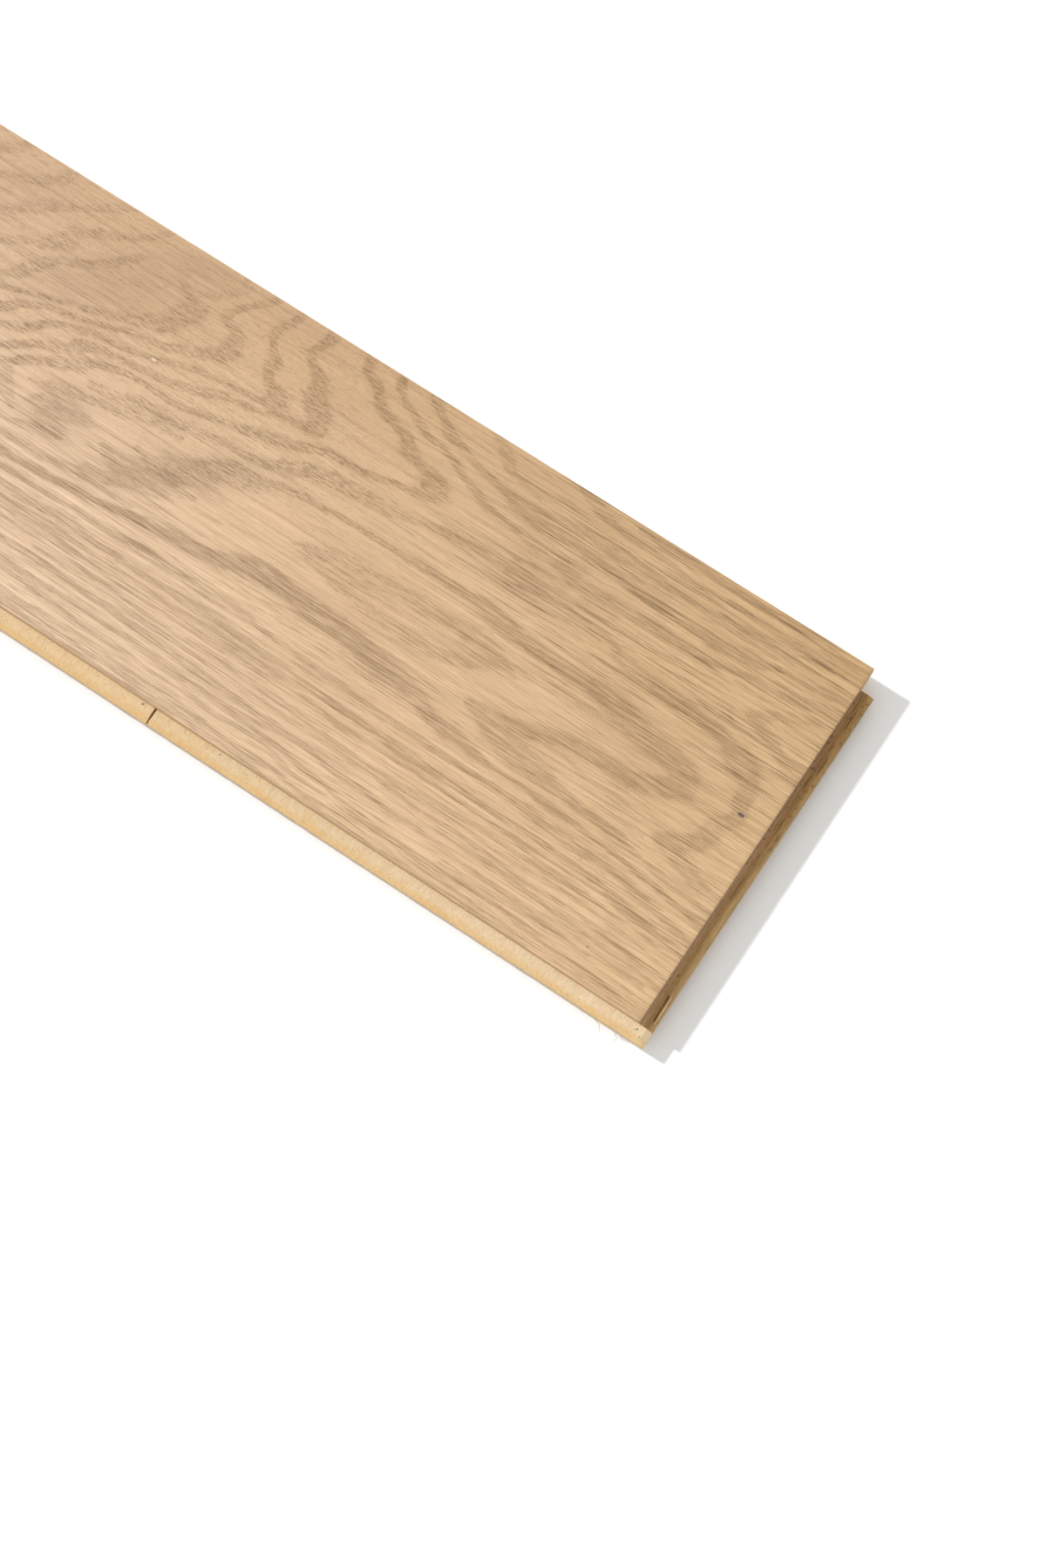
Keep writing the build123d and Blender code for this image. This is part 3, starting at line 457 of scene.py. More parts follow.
# --------------------------------------------------------------------------
# Oak face material
# --------------------------------------------------------------------------
def oak_material():
    m = Nodes("oak_face")
    x, y, z = m.xyz()
    band = m.attr("band")
    amt = m.attr("amount")
    shd = m.attr("shade")
    tone = m.attr("tone")      # 0 at the tongued long side, 1 at the grooved one
    gold = m.attr("gold")      # 1 at the tongued end
    vess = m.attr("vessel")
    run = m.attr("run")        # 1 where the bands lie along the grain
    end = m.attr("end")        # 1 on the wall and arris of the tongued end

    # streaks of several lengths, all along the board
    warp = m.noise((0.012, 0.03, 0.03), 2.0, 0.5, (5, 1, 0))
    bend = m.math("MULTIPLY_ADD", m.math("SUBTRACT", warp, 0.5), 2.0, y)
    comb = m.t.nodes.new("ShaderNodeCombineXYZ")
    m.link(x, comb.inputs[0]); m.link(bend, comb.inputs[1]); m.link(z, comb.inputs[2])
    q = comb.outputs[0]
    s_long = m.noise((0.011, 0.50, 0.4), 3.0, 0.55, (3, 0, 0), vec=q)
    s_mid = m.line2(run, m.noise((0.070, 0.95, 0.6), 3.0, 0.6, (0, 7, 0), vec=q),
                    m.noise((0.030, 1.35, 0.6), 3.0, 0.6, (0, 7, 0), vec=q))
    s_fine = m.line2(run, m.noise((0.34, 2.3, 1.5), 2.0, 0.6, (17, 9, 0), vec=q),
                     m.noise((0.085, 3.2, 1.5), 2.0, 0.6, (0, 3, 0), vec=q))
    cloud = m.noise((0.010, 0.022, 0.02), 3.0, 0.55, (9, 2, 0))

    # a band's edge is ragged along the grain
    rag = m.math("MULTIPLY_ADD", m.math("SUBTRACT", s_mid, 0.5), 1.5, band)
    rag = m.math("MULTIPLY_ADD", m.math("SUBTRACT", s_fine, 0.5), 1.7, rag)
    body = m.step(rag, 0.10, 0.52)
    # pores: dashes, crowded in the bands and sparse between them, short where a band
    # crosses the grain and long where it runs with it
    p1 = m.noise((0.17, 2.3, 1.2), 2.0, 0.5, (0, 31, 0), vec=q)
    p2 = m.noise((0.032, 2.6, 1.2), 2.0, 0.55, (8, 12, 0), vec=q)
    p3 = m.noise((0.40, 3.4, 2.0), 2.0, 0.5, (11, 5, 0), vec=q)
    p4 = m.noise((0.12, 3.3, 2.0), 2.0, 0.5, (1, 45, 0), vec=q)
    po = m.line2(run, p1, p2)
    po2 = m.line2(run, p3, p4)
    flat = m.step(band, 0.06, 0.60)
    dens = m.math("MULTIPLY", flat, m.math("MULTIPLY_ADD", amt, 0.15, 0.04))
    sparse = m.math("MULTIPLY_ADD", run, 0.010, -0.018)
    pores = m.step(m.math("ADD", m.math("ADD", po, dens), sparse), 0.61, 0.67)
    pores_f = m.step(m.math("ADD", m.math("MULTIPLY_ADD", dens, 0.9, po2), sparse), 0.61, 0.67)
    # long open vessels where the cut runs straight down the grain
    lv = m.noise((0.013, 1.5, 0.9), 2.0, 0.45, (2, 13, 0), vec=q)
    lv = m.math("ABSOLUTE", m.math("SUBTRACT", lv, 0.5))
    lvg = m.step(m.noise((0.016, 0.30, 0.2), 1.0, 0.5, (6, 4, 0), vec=q), 0.40, 0.58)
    lv = m.math("MULTIPLY", m.math("MULTIPLY", m.step(lv, 0.024, 0.006), lvg), vess)
    # pale lines beside them: painted highlight, the light caught by the raised grain
    pale = m.noise((0.020, 2.0, 0.9), 2.0, 0.5, (4, 23, 0), vec=q)
    pale = m.step(pale, 0.53, 0.70)

    near = m.mix(gold, rgb(*NEAR_LEFT), rgb(*NEAR_RIGHT))
    far = m.mix(gold, rgb(*FAR_LEFT), rgb(*FAR_RIGHT))
    base = m.mix(tone, near, far)
    base = m.mix(m.step(cloud, 0.4, 0.7, 0.0, 0.30), base, m.tint(base, 1.0, (1.0, 0.955, 0.92)))
    v = m.math("MULTIPLY_ADD", m.math("SUBTRACT", s_long, 0.5), 0.24, 1.0)
    v = m.math("MULTIPLY_ADD", m.math("SUBTRACT", s_mid, 0.5), 0.26, v)
    v = m.math("MULTIPLY_ADD", m.math("SUBTRACT", s_fine, 0.5), 0.62, v)
    base = m.brown_gain(base, v)
    # painted highlight: the pale lines lighten the colour where the raised grain would catch the light
    base = m.tint(base, m.math("MULTIPLY", pale, 0.90), (1.10, 1.115, 1.14))
    # hair lines drawn out along the grain: dark ones, and light ones that are painted glints
    h1 = m.math("ABSOLUTE", m.math("SUBTRACT", m.noise((0.0085, 0.80, 0.5), 2.0, 0.5, (21, 3, 0), vec=q), 0.5))
    h2 = m.math("ABSOLUTE", m.math("SUBTRACT", m.noise((0.011, 0.70, 0.5), 2.0, 0.5, (14, 33, 0), vec=q), 0.5))
    keep = m.math("MULTIPLY_ADD", run, 0.55, 0.25)
    hair = m.math("MULTIPLY", m.math("MULTIPLY", m.step(h1, 0.030, 0.010), m.step(s_mid, 0.34, 0.50)), keep)
    glint = m.math("MULTIPLY", m.math("MULTIPLY", m.step(h2, 0.026, 0.006), m.step(s_mid, 0.62, 0.48)), keep)
    base = m.tint(base, hair, (0.74, 0.70, 0.66))
    # painted glints: the light hair lines brighten the colour as if catching the light
    base = m.tint(base, glint, (1.11, 1.13, 1.16))
    # grey-brown clouds and bands
    comb_s = m.math("MULTIPLY_ADD", s_fine, 0.8, s_mid)
    shd = m.math("MULTIPLY", shd, m.math("MULTIPLY_ADD", m.step(comb_s, 0.82, 0.98), 1.15, 0.42), clamp=True)
    base = m.tint(base, shd, (0.80, 0.785, 0.80))
    base = m.tint(base, m.math("MULTIPLY", body, amt), (0.80, 0.78, 0.765))
    base = m.tint(base, m.math("MULTIPLY", m.math("MULTIPLY", pores, m.line2(run, 1.0, 0.78)), m.math("MULTIPLY_ADD", amt, 0.80, 0.42)), (0.62, 0.57, 0.51))
    base = m.tint(base, m.math("MULTIPLY", m.math("MULTIPLY", pores_f, m.line2(run, 1.30, 1.10)), m.math("MULTIPLY_ADD", amt, 0.62, 0.32)), (0.64, 0.60, 0.55))
    base = m.tint(base, lv, (0.52, 0.46, 0.40))

    # the pin knot and two small marks
    def spot(cx, cy, rx, ry, soft=0.5):
        u = m.math("DIVIDE", m.math("SUBTRACT", x, cx), rx)
        w = m.math("DIVIDE", m.math("SUBTRACT", y, cy), ry)
        d = m.math("ADD", m.math("MULTIPLY", u, u), m.math("MULTIPLY", w, w))
        return m.step(d, 1.0 + soft, 1.0 - soft)
    k1 = spot(X1 - 13.1, YM + 6.1, 1.75, 0.85)
    k2 = spot(X1 - 36.6, YM - 80.0, 0.55, 0.40)
    k3 = spot(X1 - 350.2, YM + 38.5, 1.3, 0.55)
    k4 = spot(X1 - 60.5, YM - 49.2, 0.9, 0.4)
    base = m.mix(m.math("MULTIPLY", k1, 0.93), base, rgb(92, 76, 78))
    base = m.mix(m.math("MULTIPLY", k2, 0.7), base, rgb(110, 84, 62))
    base = m.mix(m.math("MULTIPLY", k3, 0.75), base, rgb(238, 219, 192))
    base = m.mix(m.math("MULTIPLY", k4, 0.45), base, rgb(160, 122, 84))
    # sawn sides: duller than the face; the tongued end browner, its arris darkened, partly by finish gathered there and
    # partly as painted shade
    side = m.step(z, ZT - 0.10, ZT - 0.40)
    base = m.mix(m.math("MULTIPLY", side, 0.45), base, rgb(176, 151, 120))
    base = m.mix(m.math("MULTIPLY", side, m.math("MULTIPLY", end, 0.75)), base, rgb(190, 157, 124))
    # the dark arris at the tongued end is partly painted shade and partly finish gathered on the edge
    arris = m.math("MULTIPLY", m.step(z, ZT - 0.12, ZT - 0.26), m.step(z, ZT - 0.95, ZT - 0.55))
    base = m.mix(m.math("MULTIPLY", arris, m.math("MULTIPLY", end, 0.62)), base, rgb(142, 104, 72))
    m.link(base, m.bsdf.inputs["Base Color"])

    r = m.math("MULTIPLY_ADD", pores, 0.10, m.line(s_mid, 0.3, 0.7, 0.60, 0.50))
    m.link(r, m.bsdf.inputs["Roughness"])
    m.bsdf.inputs["Specular IOR Level"].default_value = 0.35
    hgt = m.math("MULTIPLY", pores, -0.50)
    hgt = m.math("MULTIPLY_ADD", lv, -0.60, hgt)
    hgt = m.math("MULTIPLY_ADD", body, -0.15, hgt)
    hgt = m.math("MULTIPLY_ADD", s_fine, 0.40, hgt)
    hgt = m.math("MULTIPLY_ADD", s_mid, 0.30, hgt)
    hgt = m.math("MULTIPLY_ADD", pale, 0.22, hgt)
    hgt = m.math("MULTIPLY_ADD", k3, 0.8, hgt)
    m.bump(hgt, 0.14, 0.9)
    return m.mat


# --------------------------------------------------------------------------
# Softwood of the slats: grain across the board, end grain on the noses
# --------------------------------------------------------------------------
def core_material():
    m = Nodes("softwood_core")
    x, y, z = m.xyz()
    sid = m.attr("slat")        # one random number per slat
    sid2 = m.attr("slat2")
    warm = m.attr("warm")
    edge = m.attr("nose")       # 1 on the sloping noses, which are nearly end grain
    geo = m.t.nodes.new("ShaderNodeNewGeometry")
    nx, ny, nz = m.xyz(geo.outputs["Normal"])
    endg = m.math("MULTIPLY", m.step(m.math("ABSOLUTE", ny), 0.75, 0.98), m.step(z, CZ1 - 1.7, CZ1 - 1.9))
    mott = m.noise((0.55, 0.40, 0.6), 4.0, 0.65, (12, 2, 5))
    yn_ = m.math("MULTIPLY_ADD", m.math("SUBTRACT", mott, 0.5), 9.0, m.math("SUBTRACT", y, CY0))
    endg = m.math("MAXIMUM", endg, m.step(yn_, 4.8, 1.6, 0.0, 0.85))
    # the nose turns golden outwards
    out = m.step(y, CY0 + 4.4, CY0 + 2.0)

    off = m.vmath("SCALE", m.grey(sid), scale=71.0)
    q = m.vmath("ADD", m.p, off)
    # streaks run with y, short and mottled
    f1 = m.noise((0.85, 0.12, 0.8), 4.0, 0.62, (0, 0, 2), vec=q)
    f2 = m.noise((2.6, 0.36, 2.2), 3.0, 0.62, (7, 0, 0), vec=q)
    f3 = m.noise((5.0, 0.9, 4.0), 2.0, 0.6, (1, 0, 9), vec=q)
    broad = m.noise((0.10, 0.16, 0.2), 3.0, 0.6, (4, 8, 1))
    # yearly rings of each slat, faint on its top, plainer on its end
    cx = m.math("MULTIPLY_ADD", sid2, 60.0, m.math("MULTIPLY", x, 1.0))
    rx = m.math("MULTIPLY_ADD", m.math("SUBTRACT", sid, 0.5), 1.5, 0.35)
    pitch = m.math("MULTIPLY_ADD", sid2, 0.22, 0.16)
    ring = m.math("ADD", m.math("MULTIPLY", cx, pitch), m.math("MULTIPLY", z, rx))
    ring = m.math("MULTIPLY_ADD", f1, 2.6, ring)
    ph = m.math("FRACT", ring)
    late = m.math("MULTIPLY", m.step(ph, 0.45, 0.92), m.step(ph, 1.0, 0.94))

    pale = m.mix(sid, rgb(221, 199, 165), rgb(226, 204, 171))
    pale = m.mix(warm, pale, rgb(221, 189, 140))
    c = m.gain(pale, m.math("MULTIPLY_ADD", m.math("SUBTRACT", f1, 0.5), 0.26, 1.0))
    c = m.gain(c, m.math("MULTIPLY_ADD", m.math("SUBTRACT", f2, 0.5), 0.42, 1.0))
    c = m.mix(m.step(broad, 0.46, 0.74, 0.0, 0.40), c, rgb(222, 184, 130))
    c = m.mix(m.math("MULTIPLY", late, 0.12), c, rgb(205, 166, 116))
    dash = m.step(m.noise((2.0, 0.62, 1.8), 2.0, 0.5, (3, 5, 0), vec=q), 0.58, 0.70)
    c = m.mix(m.math("MULTIPLY", dash, 0.42), c, rgb(190, 150, 98))
    c = m.mix(m.step(mott, 0.52, 0.72, 0.0, 0.45), c, rgb(206, 166, 112))
    # end grain drinks light: more golden, with the rings plain
    e = m.mix(m.math("MULTIPLY", late, 0.30), rgb(217, 183, 132), rgb(196, 152, 96))
    e = m.gain(e, m.math("MULTIPLY_ADD", m.math("SUBTRACT", f3, 0.5), 0.36, 1.0))
    e = m.gain(e, m.math("MULTIPLY_ADD", m.math("SUBTRACT", f2, 0.5), 0.44, 1.0))
    e = m.mix(m.math("MULTIPLY", dash, 0.34), e, rgb(184, 140, 86))
    e = m.mix(m.math("MULTIPLY", warm, 0.50), e, rgb(212, 170, 110))
    e = m.mix(m.math("MULTIPLY", m.step(broad, 0.50, 0.72), 0.35), e, rgb(214, 160, 98))
    c = m.mix(m.math("MULTIPLY", endg, m.math("MULTIPLY_ADD", out, 0.6, 0.4)), c, e)
    # the short wall under the oak is dull
    wall = m.math("MULTIPLY", m.step(m.math("ABSOLUTE", ny), 0.75, 0.98), m.step(z, CZ1 - 1.9, CZ1 - 1.7))
    c = m.mix(m.math("MULTIPLY", wall, 0.65), c, rgb(190, 166, 132))

    # the tongued end is browner and blotched: dark golden inside, dull olive towards its nose; the paler nose is partly
    # painted light, standing for its lit outer edge
    dark = m.attr("dark")
    b1 = m.noise((0.42, 0.050, 0.5), 4.0, 0.62, (2, 17, 0))
    b2 = m.noise((1.5, 0.10, 1.0), 3.0, 0.62, (9, 3, 0))
    b3 = m.noise((2.6, 0.55, 2.0), 2.0, 0.6, (3, 6, 0))
    xo = m.math("SUBTRACT", x, X1)
    xw = m.math("MULTIPLY_ADD", m.math("SUBTRACT", b1, 0.5), 6.0, xo)
    xw = m.math("MULTIPLY_ADD", m.math("SUBTRACT", b2, 0.5), 3.0, xw)
    # partly painted light: the tongue turns paler towards its nose, standing for its lit outer edge
    d = m.mix(m.step(xw, 3.6, 6.4), rgb(168, 130, 82), rgb(188, 154, 104))
    d = m.mix(m.step(xo, 3.0, 0.6), d, rgb(186, 152, 116))
    d = m.mix(m.step(y, YM - 45.0, YM + 60.0, 0.0, 0.80), d, m.tint(d, 1.0, (0.80, 0.73, 0.62)))
    b4 = m.noise((0.75, 0.42, 1.0), 3.0, 0.6, (23, 8, 0))
    d = m.mix(m.math("MULTIPLY", m.step(b4, 0.55, 0.66), m.step(y, YM - 60.0, YM + 30.0, 0.12, 0.55)), d, rgb(98, 66, 38))
    d = m.gain(d, m.math("MULTIPLY_ADD", m.math("SUBTRACT", b1, 0.5), 0.80, 1.0))
    d = m.gain(d, m.math("MULTIPLY_ADD", m.math("SUBTRACT", b3, 0.5), 0.45, 1.0))
    d = m.mix(m.step(b2, 0.56, 0.72, 0.0, 0.55), d, rgb(112, 78, 44))
    d = m.mix(m.step(b2, 0.44, 0.30, 0.0, 0.35), d, rgb(206, 174, 124))
    c = m.mix(m.math("MULTIPLY", dark, 0.97), c, d)

    # painted shade of the split the splinter was lifted from: a dark line where the open crack lies in shadow
    sy = m.math("SUBTRACT", y, YM)
    sx = m.math("MULTIPLY_ADD", m.math("ADD", sy, 84.0), 0.035, m.math("SUBTRACT", xo, 4.25))
    sx = m.math("MULTIPLY_ADD", m.math("SUBTRACT", b2, 0.5), 1.2, sx)
    painted_split_shade = m.math("MULTIPLY", m.step(m.math("ABSOLUTE", sx), 0.55, 0.25), m.math("MULTIPLY", m.step(sy, -76.5, -78.5), m.step(sy, -93.0, -89.0)))
    c = m.mix(m.math("MULTIPLY", painted_split_shade, m.math("MULTIPLY", dark, 0.85)), c, rgb(84, 56, 20))

    # smudges, and small sharp brown marks on the tongue
    smut = m.noise((0.30, 0.45, 0.5), 3.0, 0.65, (5, 5, 5))
    c = m.mix(m.step(smut, 0.58, 0.80, 0.0, 0.20), c, rgb(184, 146, 106))

    def speck(fx, fy, rx, ry, soft=0.6):
        u = m.math("DIVIDE", m.math("SUBTRACT", x, X1 + fx), rx)
        w = m.math("DIVIDE", m.math("SUBTRACT", y, YM + fy), ry)
        dd = m.math("ADD", m.math("MULTIPLY", u, u), m.math("MULTIPLY", w, w))
        return m.step(dd, 1.0 + soft, 1.0 - soft)
    for fx, fy, rx, ry, k, col in SPECKS:
        c = m.mix(m.math("MULTIPLY", speck(fx, fy, rx, ry), k), c, rgb(*col))
    m.link(c, m.bsdf.inputs["Base Color"])
    m.link(m.line(f2, 0.3, 0.7, 0.82, 0.70), m.bsdf.inputs["Roughness"])
    m.bsdf.inputs["Specular IOR Level"].default_value = 0.25
    h = m.math("MULTIPLY", f2, 0.9)
    h = m.math("MULTIPLY_ADD", f3, 0.5, h)
    h = m.math("MULTIPLY_ADD", late, 0.15, h)
    h = m.math("MULTIPLY_ADD", dash, -0.5, h)
    m.bump(h, 0.16, 0.8)
    return m.mat


def backing_material():
    m = Nodes("softwood_backing")
    x, y, z = m.xyz()
    warp = m.noise((0.006, 0.014, 0.0), 3.0, 0.5, (1, 1, 0))
    b = m.math("MULTIPLY_ADD", m.math("SUBTRACT", warp, 0.5), 70.0, y)
    ph = m.math("FRACT", m.math("MULTIPLY", b, 0.105))
    late = m.math("MULTIPLY", m.step(ph, 0.25, 0.9), m.step(ph, 1.0, 0.95))
    f1 = m.noise((0.02, 0.9, 0.9), 4.0, 0.6)
    f2 = m.noise((0.09, 3.0, 2.0), 3.0, 0.6, (3, 0, 0))
    c = m.mix(m.step(warp, 0.3, 0.7), rgb(236, 205, 160), rgb(229, 193, 146))
    c = m.gain(c, m.math("MULTIPLY_ADD", m.math("SUBTRACT", f1, 0.5), 0.22, 1.0))
    c = m.gain(c, m.math("MULTIPLY_ADD", m.math("SUBTRACT", f2, 0.5), 0.14, 1.0))
    c = m.mix(m.math("MULTIPLY", late, 0.42), c, rgb(202, 152, 100))
    # small sound knots
    d = m.voronoi((0.0042, 0.0125, 0.0), (0.31, 0.77, 0.0))
    kn = m.step(d, 0.085, 0.045)
    halo = m.step(d, 0.17, 0.06)
    c = m.mix(m.math("MULTIPLY", halo, 0.35), c, rgb(190, 136, 86))
    c = m.mix(m.math("MULTIPLY", kn, 0.85), c, rgb(126, 78, 44))
    # lathe checks, short splits left by peeling
    chk = m.step(m.noise((0.05, 1.7, 1.0), 2.0, 0.5, (7, 3, 0)), 0.66, 0.74)
    c = m.mix(m.math("MULTIPLY", chk, 0.30), c, rgb(160, 116, 74))
    m.link(c, m.bsdf.inputs["Base Color"])
    m.link(m.line(f1, 0.3, 0.7, 0.84, 0.72), m.bsdf.inputs["Roughness"])
    m.bsdf.inputs["Specular IOR Level"].default_value = 0.25
    h = m.math("MULTIPLY", f2, 0.8)
    h = m.math("MULTIPLY_ADD", late, 0.4, h)
    h = m.math("MULTIPLY_ADD", chk, -0.9, h)
    m.bump(h, 0.18, 0.8)
    return m.mat


# --------------------------------------------------------------------------
# The oak face as a fine mesh: brushed relief, eased arris, sides, underside
# --------------------------------------------------------------------------
def make_wear():
    # a fine grid where the figure is drawn, and a coarser one that joins it
    split = X1 - 505.0
    ncol, ccol, nrow = 280, 120, 238
    xn = np.linspace(split, X1 - BEVEL, ncol + 1)
    yn = np.linspace(Y0 + BEVEL, Y1 - BEVEL, nrow + 1)
    xc = np.linspace(X0 + BEVEL, split, ccol + 1)[:-1]
    yc = yn[::2]
    GX, GY = np.meshgrid(xn, yn, indexing="ij")
    HX, HY = np.meshgrid(xc, yc, indexing="ij")
    PX, PY = np.concatenate([GX.ravel(), HX.ravel()]), np.concatenate([GY.ravel(), HY.ravel()])
    fx, fy = PX - X1, PY - YM
    band, amount = figure(fx, fy)
    shd = shade(fx, fy)
    relief = -0.07 * band * amount - 0.02 * (0.5 + 0.5 * waves(fx, fy, 41, 9.0, 9.0))
    top = np.stack([PX, PY, ZT + relief], -1)
    verts = [top]
    N_ = np.arange(GX.size).reshape(GX.shape)
    F_ = GX.size + np.arange(HX.size).reshape(HX.shape)
    # border, going round: near side, tongued end, far side, grooved end
    side_a = np.concatenate([F_[:, 0], N_[:, 0]])
    side_b = np.concatenate([F_[:, -1], N_[:, -1]])
    nxx, nyy = len(side_a), nrow + 1
    ring = np.concatenate([side_a, N_[-1, 1:-1], side_b[::-1], F_[0, -2:0:-1]])
    n = len(ring)
    rx, ry = top[ring, 0], top[ring, 1]
    wob = waves(rx + ry, rx * 0, 51, 13.0) * 0.05
    cx, cy = (X0 + X1) / 2, (Y0 + Y1) / 2
    on_x = (np.abs(rx - X0 - BEVEL) < 1e-6) | (np.abs(rx - X1 + BEVEL) < 1e-6)
    on_y = (np.abs(ry - Y0 - BEVEL) < 1e-6) | (np.abs(ry - Y1 + BEVEL) < 1e-6)
    ox = np.where(on_x, np.sign(rx - cx), 0.0)
    oy = np.where(on_y, np.sign(ry - cy), 0.0)
    # the near side's figure shows on the sides too
    layers = [(0.24, -0.07), (0.37, -0.19), (BEVEL, -0.40), (BEVEL, -2.1), (BEVEL, ZW - ZT)]
    ids, n0 = [ring], len(top)
    for out, dz in layers:
        k = wob if -1 < dz < 0 else wob * 0
        v = np.stack([rx + ox * (out - np.abs(k)), ry + oy * (out - np.abs(k)), np.full(n, ZT + dz) + np.minimum(k, 0) * (dz > -0.3)], -1)
        verts.append(v)
        ids.append(np.arange(n0, n0 + n))
        n0 += n
    V = np.vstack(verts)
    faces = []
    for g in (N_, F_):
        faces += np.stack([g[:-1, :-1], g[1:, :-1], g[1:, 1:], g[:-1, 1:]], -1).reshape(-1, 4).tolist()
    for j in range(nrow // 2):
        faces.append([int(v) for v in (F_[-1, j], N_[0, 2 * j], N_[0, 2 * j + 1], N_[0, 2 * j + 2], F_[-1, j + 1])])
    kinds = [0] * len(faces)
    for a, b in zip(ids[:-1], ids[1:]):
        for i in range(n):
            j = (i + 1) % n
            faces.append([int(a[i]), int(b[i]), int(b[j]), int(a[j])])
            kinds.append(1)
    # underside: strips across, and one many-sided face at each end
    last = ids[-1]
    near = last[:nxx]
    far = last[nxx + nyy - 2: 2 * nxx + nyy - 2][::-1]
    for i in range(1, nxx - 2):
        faces.append([int(near[i]), int(far[i]), int(far[i + 1]), int(near[i + 1])])
        kinds.append(2)
    right = [int(v) for v in last[nxx - 1: nxx + nyy - 1]]
    faces.append([int(near[nxx - 2])] + [int(far[nxx - 2])] + right[::-1])
    kinds.append(2)
    left = [int(v) for v in np.concatenate([last[2 * nxx + nyy - 3:], last[:1]])]
    faces.append([int(far[1]), int(near[1])] + left[::-1])
    kinds.append(2)
    me = bpy.data.meshes.new("oak_face")
    me.from_pydata((V / 1000.0).tolist(), [], faces)
    me.update()

    # attributes
    vx, vy = V[:, 0] - X1, V[:, 1] - YM
    allb = np.concatenate([band] + [band[ring]] * len(layers))
    alls = np.concatenate([shd] + [shd[ring]] * len(layers))
    alla = np.concatenate([amount] + [amount[ring]] * len(layers))
    side_mask = np.concatenate([np.zeros(len(top))] + [np.full(n, 0.0 if k < 2 else 1.0) for k in range(len(layers))])
    alla = alla * (1 - 0.5 * side_mask)
    # pale and pinkish at the near left, deeper gold towards the far right
    tone = 0.5 + vy / 190.0 + 0.10 * waves(vx, vy, 61, 150.0, 2.0)
    gold = 1.0 + vx / 470.0
    gold = np.where(gold < 0, -0.02 - 0.0 * gold, gold) + np.clip(-vx / 400.0, 0, 1) * 0.10 * (1 + waves(vx, vy, 62, 420.0, 3.0))
    endw = ((vx > -BEVEL - 0.01) & (np.arange(len(vx)) >= len(top))).astype(float)
    vessel = np.clip(1.25 - ((vx + 50) / 175.0) ** 2, 0, 1) * np.clip(0.55 + (vy - 5) / 60.0, 0.35, 1.0)
    vessel = np.maximum(vessel, 0.45)
    run = np.clip(np.maximum((15.0 - vy) / 55.0 + 0.25, (vx + 270.0) / 120.0), 0.08, 1.0)
    run = np.where(vx < -480, np.clip(run + 0.3, 0, 1), run)
    for name, val in (("band", allb), ("amount", alla), ("shade", alls), ("tone", np.clip(tone, 0, 1)),
                      ("gold", np.clip(gold, 0, 1)), ("vessel", vessel), ("end", endw), ("run", run)):
        a = me.attributes.new(name, "FLOAT", "POINT")
        a.data.foreach_set("value", np.ascontiguousarray(val, dtype=np.float32))

    # a UV map: the face in three strips, the sides under them
    uv = me.uv_layers.new(name="OFBake")
    nl = len(me.loops)
    lv = np.zeros(nl, dtype=np.int64)
    me.loops.foreach_get("vertex_index", lv)
    ls = np.zeros(len(me.polygons), dtype=np.int64)
    lt = np.zeros(len(me.polygons), dtype=np.int64)
    me.polygons.foreach_get("loop_start", ls)
    me.polygons.foreach_get("loop_total", lt)
    poly = np.repeat(np.arange(len(ls)), lt)
    P = V[lv]
    cen = np.zeros((len(ls), 3))
    for k in range(3):
        cen[:, k] = np.bincount(poly, weights=P[:, k], minlength=len(ls)) / lt
    kind = np.array(kinds)
    third = L / 3.0
    strip = np.clip(((cen[:, 0] - X0) / third).astype(int), 0, 2)
    sc_ = 0.968 / (third + 12.0)
    U = np.zeros((nl, 2))
    st = strip[poly]
    u_along = 0.012 + (P[:, 0] - (X0 + third * st)) * sc_ + 6 * sc_
    kd = kind[poly]
    f = kd == 0
    U[f, 0] = u_along[f]
    U[f, 1] = (0.006 + st * (W * sc_ + 0.008) + (P[:, 1] - Y0) * sc_)[f]
    base_v = 0.006 + 3 * (W * sc_ + 0.008) + 0.004
    nrm_y = np.abs(cen[:, 1] - cy) > (W / 2 - 0.5)
    long_side = (kind == 1) & nrm_y & (np.abs(cen[:, 0] - cx) < L / 2 - 0.45)
    end_side = (kind == 1) & ~long_side
    hgt = (ZT - P[:, 2]) + np.where(np.abs(P[:, 1] - cy) > W / 2 - BEVEL - 0.01, (W / 2 - np.abs(P[:, 1] - cy)), 0) * 0.5
    hgt2 = (ZT - P[:, 2]) + (L / 2 - np.abs(P[:, 0] - cx)) * 0.5
    row = 5.0 * sc_ + 0.003
    s = long_side[poly]
    far_s = (P[:, 1] > cy).astype(int)
    U[s, 0] = u_along[s]
    U[s, 1] = (base_v + (st * 2 + far_s) * row + hgt * sc_)[s]
    s = end_side[poly]
    far_e = (P[:, 0] > cx).astype(int)
    U[s, 0] = (0.012 + far_e * (W * sc_ + 0.02) + (P[:, 1] - Y0) * sc_)[s]
    U[s, 1] = (base_v + 6 * row + hgt2 * sc_)[s]
    s = kd == 2
    k_ = 0.3 / L
    U[s, 0] = (0.66 + (P[:, 0] - X0) * k_)[s]
    U[s, 1] = (base_v + 6 * row + 0.004 + (P[:, 1] - Y0) * k_ * 0.35)[s]
    print("uv top", float(U[:, 1].max()), float(U[:, 0].max()), float(U.min()))
    uv.data.foreach_set("uv", U.ravel().astype(np.float32))
    smooth = np.ones(len(me.polygons), dtype=bool)
    smooth[kind == 2] = False
    me.polygons.foreach_set("use_smooth", smooth)
    me.validate()
    ob = bpy.data.objects.new("oak_face", me)
    sc.collection.objects.link(ob)
    return ob


